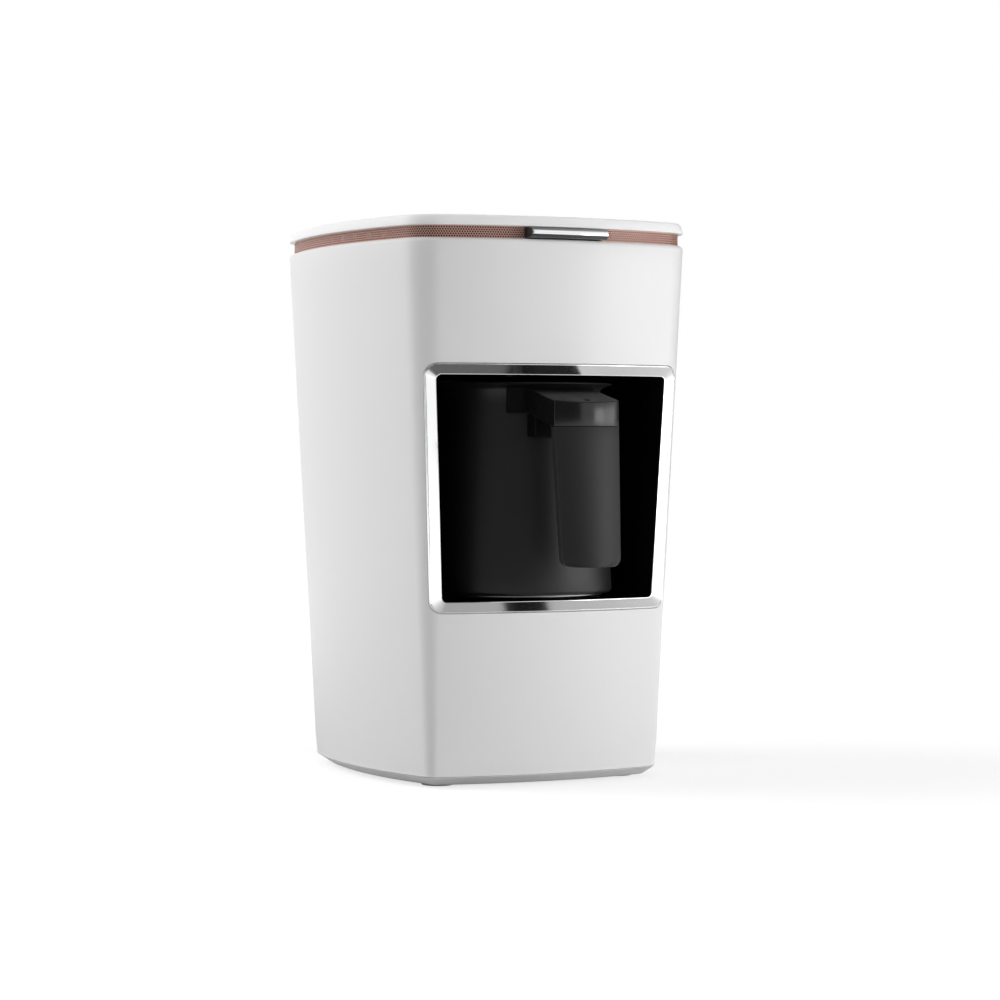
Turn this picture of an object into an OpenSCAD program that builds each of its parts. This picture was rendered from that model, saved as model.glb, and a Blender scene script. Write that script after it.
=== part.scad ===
// Electric coffee maker for turkish coffee: a drafted, bow-fronted housing with an open bay,
// in which a pot with a drop handle stands on a hot plate.
// Millimetres. X to the right, Y to the back, Z up. The origin lies on the table,
// under the middle of the whole object, handle included.

/* [Body] */
// Depth of the body at its widest level, without the handle
body_d = 176; // [166:0.5:200]
// Width of the housing on each side of the window's top
window_margin = 23.3; // [20:0.1:30]
// Height of the housing above the window
brow_h = 59.4; // [50:0.1:80]
// Wall thickness of the housing
wall = 2.4; // [1.8:0.1:3]
// Draft of the walls, in degrees: the body narrows towards the table
draft = 3.05; // [2.4:0.05:3.4]
// Radius of the bowed front
front_r = 203; // [185:1:240]
// How far the sides bow out over the body's depth
side_bow = 17.75; // [15:0.25:20]
// Radius of the bowed back
rear_r = 187; // [170:1:230]
// Radius of the two front corners
front_corner_r = 19.7; // [17:0.1:24]
// Radius of the two rear corners
rear_corner_r = 36; // [28:0.5:42]
// Rounding of the housing's upper edge
shoulder_r = 2; // [1:0.1:2.4]
// Width of the flange that closes the housing's top, from the outline inwards
flange_w = 10.8; // [10:0.1:13]

/* [Base] */
// Height of the chamfered base
base_h = 4; // [3.4:0.1:6]
// How far the base's chamfer runs in under the housing
base_chamfer = 6.1; // [3:0.1:6.5]
// Thickness of the base's floor
base_floor = 2.8; // [2.4:0.1:3.2]
// Height of the rim that locates the base inside the housing
base_rim_h = 5; // [3:0.5:7]
// How far the feet stand out below the base
foot_drop = 1.2; // [0.8:0.1:3]
// Radius of a foot
foot_r = 7.3; // [6:0.1:8]
// Distance of the feet from the body's widest side
foot_side = 35; // [33:0.5:44]
// Distance of the front feet from the body's front
foot_front = 38; // [36:0.5:46]
// Distance of the rear feet from the body's back
foot_rear = 36; // [34:0.5:46]
// Height of the screw bosses inside the housing
boss_h = 30; // [20:1:40]
// Length of a cooling slot in the base
slot_l = 34; // [24:1:40]
// Number of cooling slots in each row
slot_count = 7; // [3:1:9]
// Width of a cooling slot
slot_w = 2.6; // [1.6:0.1:3.4]
// Distance from one cooling slot to the next
slot_pitch = 7; // [5:0.5:9]

/* [Lid and grille band] */
// Height of the grille band between housing and lid
band_h = 5.3; // [5:0.1:8]
// How far the band stands back from the outline
band_inset = 2.4; // [1.8:0.1:3]
// Thickness of the band
band_t = 0.8; // [0.6:0.1:1]
// Height of the lid
lid_h = 4.7; // [4:0.1:8]
// Rounding of the lid's upper edge
lid_edge_r = 1.8; // [1:0.1:2.5]
// Thickness of the lid's top
lid_t = 2.2; // [1.6:0.1:2.4]
// Depth of the electronics tray below the flange
tray_depth = 8; // [7:0.5:14]
// Number of rows of vent holes in the band
vent_rows = 4; // [2:1:4]
// Distance from one vent hole to the next in its row
vent_pitch = 2.8; // [2.4:0.1:4]
// Radius of a vent hole
vent_r = 0.45; // [0.3:0.05:0.5]

/* [Button] */
// Length of the button bar
bar_l = 37.3; // [30:0.1:44]
// Height of the button bar
bar_h = 4.2; // [3.8:0.1:4.4]
// How far the bar stands out in front
bar_reach = 4; // [3:0.1:6]
// Travel of the button
bar_travel = 1.2; // [0.8:0.1:1.6]

/* [Bay and bezel] */
// Height of the window's sill above the underside of the base
sill_h = 81; // [78:0.5:84]
// How much narrower the window is at its sill than at its top
window_taper = 9.2; // [4:0.2:12]
// Radius of the window's corners
window_r = 2.2; // [1.5:0.1:4]
// Width of the bezel at the sides
bezel_side = 5.8; // [4.5:0.1:6]
// Width of the bezel at the top and the sill
bezel_rail = 5; // [4:0.1:6]
// Radius of the bezel's outer corners
bezel_r = 5.5; // [4:0.1:8]
// Depth of the bezel's bevel
bevel_depth = 1.9; // [1.2:0.1:2]
// Wall thickness of the bay's liner
liner_wall = 1.8; // [1.4:0.1:2.4]
// Gap between the pot's foot and the bay's back
bay_rear_gap = 4.5; // [2.5:0.5:12]
// Gap between the pot's foot and the bay's sides, at the sill
bay_side_gap = 8.6; // [6:0.1:14]
// Gap between the pot's rim and the window's upper edge
bay_head_gap = 3; // [1.5:0.1:10]

/* [Pot] */
// Height of the pot
pot_h = 96; // [84:0.5:120]
// Radius of the pot at its foot
pot_foot_r = 43.5; // [40:0.1:50]
// Radius of the pot at its rim
pot_rim_r = 38; // [35:0.1:40]
// Wall thickness of the pot
pot_wall = 1.6; // [1.2:0.1:2.2]
// How far the pot's foot stands behind the body's front
pot_recess = 6.5; // [4:0.1:9]
// How far the rim flares out
rim_flare = 1.3; // [0.8:0.1:2]

/* [Handle] */
// Width of the handle at its top
handle_w = 31.4; // [28:0.2:34]
// Width of the grip at its bottom
grip_low_w = 28; // [24:0.2:30]
// Length of the grip's soft part
grip_l = 60.8; // [52:0.2:62]
// Thickness of the grip at its side edges
grip_edge_t = 3.6; // [3:0.1:5]
// Bow of the grip's front face
grip_bow = 4.6; // [3:0.1:5.5]
// How far the grip's top stands out in front of the body
handle_reach = 24; // [22:0.5:30]
// How much further out the grip's bottom stands
grip_lean = 5; // [2:0.5:7]
// Thickness of the handle's arm
arm_t = 10.5; // [9:0.1:11]
// Height of the arm's front end, above the soft grip
cap_h = 10.4; // [9:0.1:12]
// Fall of the arm towards the grip, in degrees
arm_fall = 11.8; // [8:0.1:13]
// Half width of the collar on the pot
collar_half = 22; // [19:0.5:24]
// Thickness of the collar
collar_t = 3; // [2.4:0.1:4]

/* [Heater] */
// How far the hot plate's edge lies inside the pot's foot
plate_margin = 10.5; // [10:0.5:14]
// Thickness of the hot plate
plate_t = 5; // [4:0.5:7]
// How far the heating element's ring lies inside the hot plate's edge
element_margin = 9; // [8:0.5:12]
// Radius of the heating element's tube
tube_r = 3; // [2.6:0.1:3.4]

/* [Electronics] */
// Thickness of the circuit boards
board_t = 1.6; // [1:0.1:2]
// Width of the control board under the lid
control_w = 76; // [66:1:90]
// Depth of the control board
control_d = 60; // [52:1:80]
// Width of the power board in the base
power_w = 80; // [76:1:86]
// Depth of the power board
power_d = 68; // [64:1:76]
// Width of the relay
relay_w = 15; // [12:0.5:18]
// Depth of the relay
relay_d = 19; // [15:0.5:22]
// Height of the relay
relay_h = 15.5; // [12:0.5:19]
// Width of the transformer's core
core_w = 26; // [22:0.5:28]
// Depth of the transformer's core
core_d = 22; // [18:0.5:26]
// Height of the transformer's core
core_h = 19; // [16:0.5:22]
// Width of the transformer's winding
winding_w = 32; // [28:0.5:34]
// Thickness of the transformer's winding
winding_t = 14; // [12:0.5:16]
// Width of the terminal block
terminal_w = 24; // [20:0.5:28]
// Depth of the terminal block
terminal_d = 12; // [10:0.5:14]
// Height of the terminal block
terminal_h = 13; // [10:0.5:16]

/* [Cord inlet] */
// Radius of the cord gland's bore
cord_r = 3.6; // [3:0.1:4.2]
// Height of the cord inlet above the underside of the base
cord_h = 24; // [20:0.5:34]

/* [Hidden] */
$fn = 48;

// Clearances
fit = 0.1;            // between fixed pieces
slide_fit = 0.3;      // between pieces that move past each other
shaft_fit = 0.05;     // round a shaft in its bore

// Levels
z_base = foot_drop;
z_housing = z_base + base_h;
z_sill = z_base + sill_h;
bay_gap = 0.6;        // how far the bay's floor lies below the sill, and its ceiling above the lintel
z_floor = z_sill - bay_gap;
z_plate = z_floor + 1.1;
z_pot = z_plate + fit;
z_lintel = z_pot + pot_h + bay_head_gap;
z_ceiling = z_lintel + bay_gap;
z_top = z_lintel + brow_h;
z_lid = z_top + band_h;
z_lid_top = z_lid + lid_h;

// Widths and depths that follow the pot
window_sill_w = 2 * (pot_foot_r + bay_side_gap);
window_top_w = window_sill_w + window_taper;
body_w = window_top_w + 2 * window_margin;
pot_y = -body_d / 2 + pot_recess + pot_foot_r;
bay_reach = pot_foot_r + bay_rear_gap;
plate_r = pot_foot_r - plate_margin;
element_r = plate_r - element_margin;

// Arc centres of the body's outline
front_c = [0, -body_d / 2 + front_r];
side_r = (body_d * body_d / 4 + side_bow * side_bow) / (2 * side_bow);
side_c = [body_w / 2 - side_r, 0];
rear_c = [0, body_d / 2 - rear_r];
tip_r = 0.8;          // smallest corner radius of an inset outline
front_n = 6;          // segments of each stretch of half an outline
corner_n = 6;
side_n = 6;
rear_n = 6;

// Where two circles cross, on the left of the line between their centres
function meet(c1, r1, c2, r2) =
    let (
        d = norm(c2 - c1),
        u = (c2 - c1) / d,
        a = (r1 * r1 - r2 * r2 + d * d) / (2 * d),
        h = sqrt(r1 * r1 - a * a)
    )
    c1 + a * u + h * [-u[1], u[0]];

// Direction from one point to another
function aim(from, to) = atan2(to[1] - from[1], to[0] - from[0]);

// Points on an arc, without its last one
function arc(c, r, a0, a1, n) =
    [for (i = [0:n - 1]) let (a = a0 + (a1 - a0) * i / n) c + r * [cos(a), sin(a)]];

function front_corner(t) =
    let (r = max(front_corner_r - t, tip_r))
    meet(front_c, front_r - t - r, side_c, side_r - t - r);

function rear_corner(t) =
    let (r = max(rear_corner_r - t, tip_r))
    meet(side_c, side_r - t - r, rear_c, rear_r - t - r);

// Right half of the body's outline, moved inwards by t, from front to back
function half_outline(t) =
    let (kf = front_corner(t), kr = rear_corner(t))
    concat(
        arc(front_c, front_r - t, -90, aim(front_c, kf), front_n),
        arc(kf, max(front_corner_r - t, tip_r), aim(front_c, kf), aim(side_c, kf), corner_n),
        arc(side_c, side_r - t, aim(side_c, kf), aim(side_c, kr), side_n),
        arc(kr, max(rear_corner_r - t, tip_r), aim(side_c, kr), aim(rear_c, kr), corner_n),
        arc(rear_c, rear_r - t, aim(rear_c, kr), 90, rear_n),
        [rear_c + [0, rear_r - t]]
    );

// A right half closed by its mirror image
function mirrored(half) =
    concat(half, [for (i = [len(half) - 2:-1:1]) [-half[i][0], half[i][1]]]);

function outline(t) = mirrored(half_outline(t));

// How far the draft has brought the wall in at a height
function inset(z) = (z_top - z) * tan(draft);

// Y of the front wall's surface at a place, at a depth below the outer skin
function skin_y(x, z, depth) =
    let (t = inset(z) + depth, k = front_corner(t), r = max(front_corner_r - t, tip_r))
    abs(x) < (front_r - t) * cos(aim(front_c, k))
        ? front_c[1] - sqrt(pow(front_r - t, 2) - x * x)
        : k[1] - sqrt(pow(r, 2) - pow(abs(x) - k[0], 2));

// Solid through a stack of rings with as many points each, closed by its first and last ring
module skin(rings) {
    n = len(rings[0]);
    m = len(rings);
    sides = [for (j = [0:m - 2], i = [0:n - 1])
        let (a = j * n + i, b = j * n + (i + 1) % n)
        each [[a, a + n, b], [b, a + n, b + n]]];
    bottom = [for (i = [0:n - 1]) i];
    top = [for (i = [n - 1:-1:0]) (m - 1) * n + i];
    polyhedron([for (ring = rings) each ring], concat([bottom], sides, [top]));
}

function at_height(points, z) = [for (p = points) [p[0], p[1], z]];

// Solid with the body's outline at each [height, inset]
module loft(levels) {
    skin([for (l = levels) at_height(outline(l[1]), l[0])]);
}

// Levels of a quarter round that takes an upright edge in at its top
function rounded_top(z, t, r, steps) =
    [for (i = [0:steps]) let (a = 90 * i / steps) [z - r + r * sin(a), t + r * (1 - cos(a))]];

// The space inside a wall of the given thickness, between two heights
module drafted(depth, z0, z1) {
    loft([[z0, inset(z0) + depth], [z1, inset(z1) + depth]]);
}

// Right half of a window with leaning sides, as [x, z], from the sill's middle to the lintel's
long_n = 8;
upright_n = 4;
round_n = 4;
function half_window(z0, z1, w0, w1, r) =
    let (
        lean = atan((w1 - w0) / (z1 - z0)),
        low = [w0 - r * (1 - sin(lean)) / cos(lean), z0 + r],
        high = [w1 - r * (1 + sin(lean)) / cos(lean), z1 - r],
        foot = low + r * [cos(lean), -sin(lean)],
        head = high + r * [cos(lean), -sin(lean)]
    )
    concat(
        [for (i = [0:long_n - 1]) [low[0] * i / long_n, z0]],
        arc(low, r, -90, -lean, round_n),
        [for (i = [0:upright_n - 1]) foot + (head - foot) * i / upright_n],
        arc(high, r, -lean, 90, round_n),
        [for (i = [0:long_n]) [high[0] * (1 - i / long_n), z1]]
    );

function window_inner() =
    mirrored(half_window(z_sill, z_lintel, window_sill_w / 2, window_top_w / 2, window_r));

// Outer edge of the bezel, grown to the sides and up and down
function window_outer(side, rail) =
    mirrored(half_window(
        z_sill - bezel_rail - rail, z_lintel + bezel_rail + rail,
        window_sill_w / 2 + bezel_side + side, window_top_w / 2 + bezel_side + side, bezel_r));

// Prism through the front wall with an outline in X and Z
module front_prism(points) {
    translate([0, -body_d / 6, 0])
        rotate([90, 0, 0])
            linear_extrude(body_d)
                polygon(points);
}

foot_x = body_w / 2 - foot_side;
foot_places = [for (x = [-foot_x, foot_x], y = [foot_front - body_d / 2, body_d / 2 - foot_rear]) [x, y]];

// ---------- Housing ----------
module housing() {
    color("white")
        difference() {
            union() {
                difference() {
                    loft(concat([[z_housing, inset(z_housing)]], rounded_top(z_top, 0, shoulder_r, 4)));
                    drafted(wall, z_housing - 1, z_top - wall);
                    loft([[z_top - wall - 1, flange_w], [z_top + 1, flange_w]]);
                }
                housing_bosses();
                frame_bosses();
            }
            front_prism(window_outer(fit, fit));
            for (p = frame_places)
                translate([p[0], p[1], z_top - frame_boss_h - 1])
                    cylinder(r = frame_screw_r, h = frame_boss_h + 2);
            for (p = liner_places)
                translate([p[0], skin_y(p[0], p[1], 1), p[1]])
                    rotate([-90, 0, 0])
                        cylinder(r = liner_screw_r, h = wall + 2);
            translate([0, body_d / 2, z_base + cord_h])
                rotate([90, 0, 0])
                    cylinder(r = gland_r + fit, h = cord_span);
        }
}

boss_r = 4;
screw_r = 1.5;
base_screw_hold = 8;  // how far the base's screws reach into their bosses
boss_foot = z_housing + base_rim_h + 1;
web_t = 2;
module housing_bosses() {
    intersection() {
        drafted(wall / 2, z_housing, z_top - wall);
        for (p = foot_places)
            difference() {
                union() {
                    translate([p[0], p[1], boss_foot])
                        cylinder(r = boss_r, h = boss_h);
                    translate([p[0] > 0 ? p[0] : p[0] - body_w / 2, p[1] - web_t / 2, boss_foot])
                        cube([body_w / 2, web_t, boss_h]);
                }
                translate([p[0], p[1], boss_foot - 1])
                    cylinder(r = screw_r, h = boss_h);
            }
    }
}

// The top frame's upright wall stands behind the band, and its tray hangs inside the flange
frame_t = 1.4;
frame_wall = 1.5;
frame_inset = band_inset + band_t + 1;
tray_inset = flange_w + slide_fit;

// Bosses under the flange, for the screws of the top frame
frame_screw_r = 1.1;
frame_head_r = 2.2;
frame_boss_h = 8;
frame_boss_t = frame_inset + frame_wall + frame_head_r + 2 * fit;
frame_boss_r = tray_inset - frame_boss_t - fit;
frame_boss_end = 64;   // from the body's ends
frame_boss_y = body_d / 2 - frame_boss_end;
frame_boss_x = side_c[0] + sqrt(pow(side_r - frame_boss_t, 2) - pow(frame_boss_y, 2));
frame_places = [for (x = [-frame_boss_x, frame_boss_x], y = [-frame_boss_y, frame_boss_y]) [x, y]];
module frame_bosses() {
    for (p = frame_places)
        translate([p[0], p[1], z_top - frame_boss_h])
            cylinder(r = frame_boss_r, h = frame_boss_h - shoulder_r / 2);
}

// ---------- Base ----------
foot_seat = 1.8;
head_r = 3;
head_h = 2;
base_rim_t = 1.6;
post_r = 3;
slot_gap = 8;         // between the two rows of cooling slots
module base_plate() {
    rim_z = z_housing + base_rim_h;
    t0 = inset(z_housing);
    color("silver")
        difference() {
            union() {
                difference() {
                    union() {
                        loft([[z_base, t0 + base_chamfer], [z_housing - fit, t0]]);
                        drafted(wall + fit, z_housing - 1, rim_z);
                    }
                    drafted(wall + fit + base_rim_t, z_base + base_floor, rim_z + 1);
                }
                for (p = foot_places)
                    translate([p[0], p[1], z_base + base_floor - 1])
                        cylinder(r = boss_r, h = boss_foot - fit - z_base - base_floor + 1);
                for (p = board_places)
                    translate([p[0], p[1], z_base + base_floor - 1])
                        cylinder(r = post_r, h = board_z - z_base - base_floor + 1);
            }
            for (p = foot_places) {
                translate([p[0], p[1], z_base - 1])
                    cylinder(r = foot_r + fit, h = foot_seat + 1);
                translate([p[0], p[1], z_base])
                    cylinder(r = head_r + fit, h = foot_seat + head_h);
                translate([p[0], p[1], z_base])
                    cylinder(r = screw_r + fit, h = boss_foot);
            }
            for (i = [0:slot_count - 1], row = [-1, 1])
                translate([row * (slot_l + slot_gap) / 2, (i - (slot_count - 1) / 2) * slot_pitch, z_base - 1])
                    cube([slot_l, slot_w, base_h * 3], center = true);
        }
}

module feet() {
    color("dimgray")
        for (p = foot_places)
            translate([p[0], p[1], 0]) {
                cylinder(r = foot_r, h = foot_drop + foot_seat - fit);
            }
}

module base_screws() {
    color("gainsboro")
        for (p = foot_places)
            translate([p[0], p[1], z_base + foot_seat])
                screw(head_r, head_h - fit, screw_r - shaft_fit, boss_foot - z_base + base_screw_hold);
}

// A screw whose head's outer face lies at z = 0, pointing up
module screw(r, h, shank_r, length) {
    difference() {
        union() {
            cylinder(r = r, h = h);
            cylinder(r = shank_r, h = length);
        }
        for (a = [0, 90])
            rotate(a)
                cube([r, 0.7, h], center = true);
    }
}

// ---------- Top: frame, band, lid ----------
z_tray = z_top - tray_depth;
control_lift = 3;     // from the tray up to the control board
control_post_r = 2.5;
z_board = z_tray + frame_t + control_lift;
stop_w = 5;           // the springs' stops
stop_t = 2;
tray_cut = 20;        // how far the carrier's opening reaches in behind the flange
module top_frame() {
    color("#202020")
        difference() {
            union() {
                loft([[z_top + shaft_fit, frame_inset], [z_top + frame_t, frame_inset]]);
                difference() {
                    loft([[z_top, frame_inset], [z_lid - shaft_fit, frame_inset]]);
                    loft([[z_top - 1, frame_inset + frame_wall], [z_lid + 1, frame_inset + frame_wall]]);
                }
                loft([[z_tray, tray_inset], [z_top + 1, tray_inset]]);
            }
            difference() {
                loft([[z_tray + frame_t, tray_inset + frame_wall], [z_lid, tray_inset + frame_wall]]);
                for (x = [-spring_x, spring_x])
                    translate([x - stop_w / 2, spring_end, z_tray])
                        cube([stop_w, stop_t, z_bar + bar_h - z_tray]);
                for (p = control_places)
                    translate([p[0], p[1], z_tray])
                        cylinder(r = control_post_r, h = z_board - z_tray);
            }
            translate([-bar_l / 2 - slide_fit, -body_d / 2, z_top - 1])
                cube([bar_l + 2 * slide_fit, bar_back + body_d / 2 + bar_travel + slide_fit, band_h + 2]);
            translate([-carrier_half - slide_fit, -body_d / 2, z_bar + carrier_step - slide_fit])
                cube([2 * (carrier_half + slide_fit), flange_w + tray_cut, band_h]);
            for (p = frame_places)
                translate([p[0], p[1], z_top - 1])
                    cylinder(r = frame_screw_r + fit, h = 5);
            for (p = lid_places)
                translate([p[0], p[1], z_tray - 1])
                    cylinder(r = screw_r + fit, h = 5);
            vent_gaps();
        }
}

// Gaps in the frame's upright wall, which let the air out through the band
gap_w = 6;
gap_pitch = 12;
gap_top = 0.8;
gap_h = band_h - frame_t - gap_top;
module vent_gaps() {
    side_n = floor((body_d / 2 - rear_corner_r) / gap_pitch);
    back_n = floor((body_w / 2 - rear_corner_r) / gap_pitch);
    for (i = [-side_n:side_n])
        translate([-body_w, i * gap_pitch - gap_w / 2, z_top + frame_t])
            cube([2 * body_w, gap_w, gap_h]);
    for (i = [-back_n:back_n])
        translate([i * gap_pitch - gap_w / 2, 0, z_top + frame_t])
            cube([gap_w, body_d, gap_h]);
}

frame_head_h = 1.3;
module frame_screws() {
    color("gainsboro")
        for (p = frame_places)
            translate([p[0], p[1], z_top + frame_t + frame_head_h + shaft_fit])
                mirror([0, 0, 1])
                    screw(frame_head_r, frame_head_h, frame_screw_r - shaft_fit, frame_boss_h);
}

// The rows of vent holes run round the band, each row half a pitch on from the row below it
vent_step = band_h / (vent_rows + 1);
module vent_band() {
    ring = outline(band_inset);
    n = len(ring);
    // distance along the ring of each of its points
    marks = [for (i = 0, s = 0; i <= n; s = s + norm(ring[(i + 1) % n] - ring[i % n]), i = i + 1) s];
    count = round(marks[n] / vent_pitch);
    color("rosybrown")
        difference() {
            translate([0, 0, z_top + shaft_fit])
                linear_extrude(band_h - 2 * shaft_fit)
                    difference() {
                        polygon(ring);
                        polygon(outline(band_inset + band_t));
                    }
            for (k = [0:count - 1], row = [0:vent_rows - 1])
                let (
                    along = (k + (row % 2) / 2) * marks[n] / count,
                    i = max([for (j = [0:n - 1]) if (marks[j] <= along) j]),
                    u = (ring[(i + 1) % n] - ring[i]) / (marks[i + 1] - marks[i]),
                    p = ring[i] + u * (along - marks[i])
                )
                    if (abs(p[0]) > bar_l / 2 + 2 || p[1] > 0)
                        translate([p[0], p[1], z_top + (row + 1) * vent_step])
                            rotate([0, 90, atan2(u[1], u[0]) + 90])
                                cylinder(r = vent_r, h = 4 * band_t, center = true, $fn = 16);
            translate([-bar_l / 2 - slide_fit, -body_d, z_bar - slide_fit])
                cube([bar_l + 2 * slide_fit, body_d, bar_h + 2 * slide_fit]);
        }
}

lid_boss_side = 32;
lid_boss_end = 42;
lid_boss_x = body_w / 2 - lid_boss_side;
lid_boss_y = body_d / 2 - lid_boss_end;
lid_places = [for (x = [-lid_boss_x, lid_boss_x], y = [-lid_boss_y, lid_boss_y]) [x, y]];
module lid() {
    color("white")
        difference() {
            union() {
                difference() {
                    loft(concat([[z_lid, 0.5], [z_lid + 0.5, 0]], rounded_top(z_lid_top, 0, lid_edge_r, 4)));
                    loft([[z_lid - 1, frame_inset + frame_wall + 1], [z_lid_top - lid_t, frame_inset + frame_wall + 1]]);
                }
                for (p = lid_places)
                    translate([p[0], p[1], z_tray + frame_t + shaft_fit])
                        cylinder(r = boss_r, h = z_lid_top - 1 - z_tray - frame_t);
            }
            for (p = lid_places)
                translate([p[0], p[1], z_tray])
                    cylinder(r = screw_r, h = z_lid - z_tray);
        }
}

lid_head_r = 2.6;
lid_head_h = 1.6;
lid_screw_l = 10;
module lid_screws() {
    color("gainsboro")
        for (p = lid_places)
            translate([p[0], p[1], z_tray - lid_head_h - shaft_fit])
                screw(lid_head_r, lid_head_h, screw_r - shaft_fit, lid_screw_l);
}

// ---------- Button ----------
bar_play = 0.4;       // under the bar
z_bar = z_top + bar_play;
bar_low_edge = 0.7;
bar_top_edge = 0.9;
bar_front = -body_d / 2 - bar_reach;
bar_behind = 1;       // how far the bar reaches in behind the band
bar_back = -body_d / 2 + band_inset + band_t + bar_behind;
carrier_half = 13;
carrier_step = 0.6;   // how much thinner the carrier is than the bar, above and below
carrier_l = 9;
carrier_back = bar_back + carrier_l;
spring_x = 9;
spring_l = 8;
spring_end = carrier_back + spring_l;
module button_bar() {
    color("gainsboro")
        translate([-bar_l / 2, 0, 0])
            rotate([90, 0, 90])
                linear_extrude(bar_l)
                    polygon([
                        [bar_front, z_bar + bar_low_edge],
                        [bar_front, z_bar + bar_h - bar_top_edge],
                        [bar_front + bar_top_edge, z_bar + bar_h],
                        [bar_back, z_bar + bar_h],
                        [bar_back, z_bar],
                        [bar_front + bar_low_edge, z_bar]
                    ]);
}

module button_carrier() {
    color("#303030")
        difference() {
            translate([-carrier_half, bar_back, z_bar + carrier_step])
                cube([2 * carrier_half, carrier_back - bar_back, bar_h - 2 * carrier_step]);
            for (x = [-spring_x, spring_x])
                translate([x, carrier_back - 2, z_bar + bar_h / 2])
                    rotate([-90, 0, 0])
                        cylinder(r = 1.3, h = 3);
        }
}

plunger_r = 1.7;
plunger_hold = 2;     // length of the plunger inside the switch at rest
switch_w = 7;
switch_d = 6.5;
switch_gap = 1.8;     // left between the pressed carrier and the switch
switch_front = carrier_back + bar_travel + switch_gap;
module switch_plunger() {
    color("black")
        translate([0, carrier_back, z_bar + bar_h / 2])
            rotate([-90, 0, 0])
                cylinder(r = plunger_r, h = switch_front - carrier_back + plunger_hold);
}

module push_switch() {
    color("#404040")
        difference() {
            translate([-switch_w / 2, switch_front, z_board + board_t])
                cube([switch_w, switch_d, z_bar + bar_h / 2 + plunger_r + 0.9 - z_board - board_t]);
            translate([0, switch_front - 1, z_bar + bar_h / 2])
                rotate([-90, 0, 0])
                    cylinder(r = plunger_r + shaft_fit, h = 1 + plunger_hold + bar_travel + 1.3);
        }
}

// Two coil springs side by side, each one swept along its helix
module button_springs() {
    color("silver")
        for (x = [-spring_x, spring_x])
            translate([x, carrier_back, z_bar + bar_h / 2])
                rotate([-90, 0, 0])
                    coil(1.6, 0.25, spring_end - carrier_back, 5);
}

module coil(r, wire_r, length, turns) {
    per_turn = 10;
    sides = 5;
    steps = turns * per_turn;
    rise = length - 2 * wire_r;
    skin([for (i = [0:steps])
        let (a = 360 * i / per_turn, c = [r * cos(a), r * sin(a), wire_r + rise * i / steps])
        [for (j = [0:sides - 1])
            let (b = 360 * j / sides)
            c + wire_r * [cos(b) * cos(a), cos(b) * sin(a), -sin(b)]]]);
}

// ---------- Control electronics ----------
control_front = spring_end + 3.2;
control_places = [for (x = [-1, 1], y = [9.6, control_d - 10.4])
    [x * (control_w / 2 - 4), control_front + y]];
chip_w = 14;
chip_t = 1.4;
chip_x = 18;
chip_y = 29.6;
module control_board() {
    color("darkgreen") {
        translate([-control_w / 2, control_front, z_board])
            cube([control_w, control_d, board_t]);
        translate([-switch_w / 2, switch_front, z_board])
            cube([switch_w, control_front - switch_front + 1, board_t]);
        translate([-control_w / 2 + chip_x, control_front + chip_y, z_board])
            cube([chip_w, chip_w, board_t + chip_t]);
    }
}

buzzer_r = 6;
buzzer_h = 5;
buzzer_x = 16;
buzzer_y = 33.6;
module buzzer() {
    color("#303030")
        translate([control_w / 2 - buzzer_x, control_front + buzzer_y, z_board + board_t])
            difference() {
                cylinder(r = buzzer_r, h = buzzer_h);
                translate([0, 0, buzzer_h - 2])
                    cylinder(r = 1, h = 3);
            }
}

// ---------- Bezel and bay ----------
module window_bezel() {
    back = wall - 0.15;
    // share of the bezel's width from its inner edge, and depth below the housing's skin
    profile = [
        [0, bevel_depth], [0, back], [0.3, back], [0.55, back], [0.8, back], [1, back],
        [1, 0.1], [0.985, -0.3], [0.92, -0.35], [0.9, -0.2]
    ];
    inner = window_inner();
    outer = window_outer(0, 0);
    n = len(inner);
    m = len(profile);
    points = [for (i = [0:n - 1], p = profile)
        let (q = inner[i] + (outer[i] - inner[i]) * p[0])
        [q[0], skin_y(q[0], q[1], p[1]), q[1]]];
    faces = [for (i = [0:n - 1], j = [0:m - 1])
        let (i2 = (i + 1) % n, j2 = (j + 1) % m, a = i * m + j, b = i * m + j2, c = i2 * m + j2, d = i2 * m + j)
        each [[a, b, c], [a, c, d]]];
    color("silver")
        polyhedron(points, faces);
}

function bay_half(z) = (window_sill_w + window_taper * (z - z_sill) / (z_lintel - z_sill)) / 2;

// Outline of the bay at a height, grown by g: straight sides and a round back
function bay_ring(z, g) =
    let (w = bay_half(z) + g, n = 16)
    concat(
        [[-w, -body_d / 2 - 10, z], [w, -body_d / 2 - 10, z]],
        [for (i = [0:n]) [w * cos(180 * i / n), pot_y + (bay_reach + g) * sin(180 * i / n), z]]
    );

module bay_form(g) {
    skin([bay_ring(z_floor - g, g), bay_ring(z_ceiling + g, g)]);
}

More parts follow.
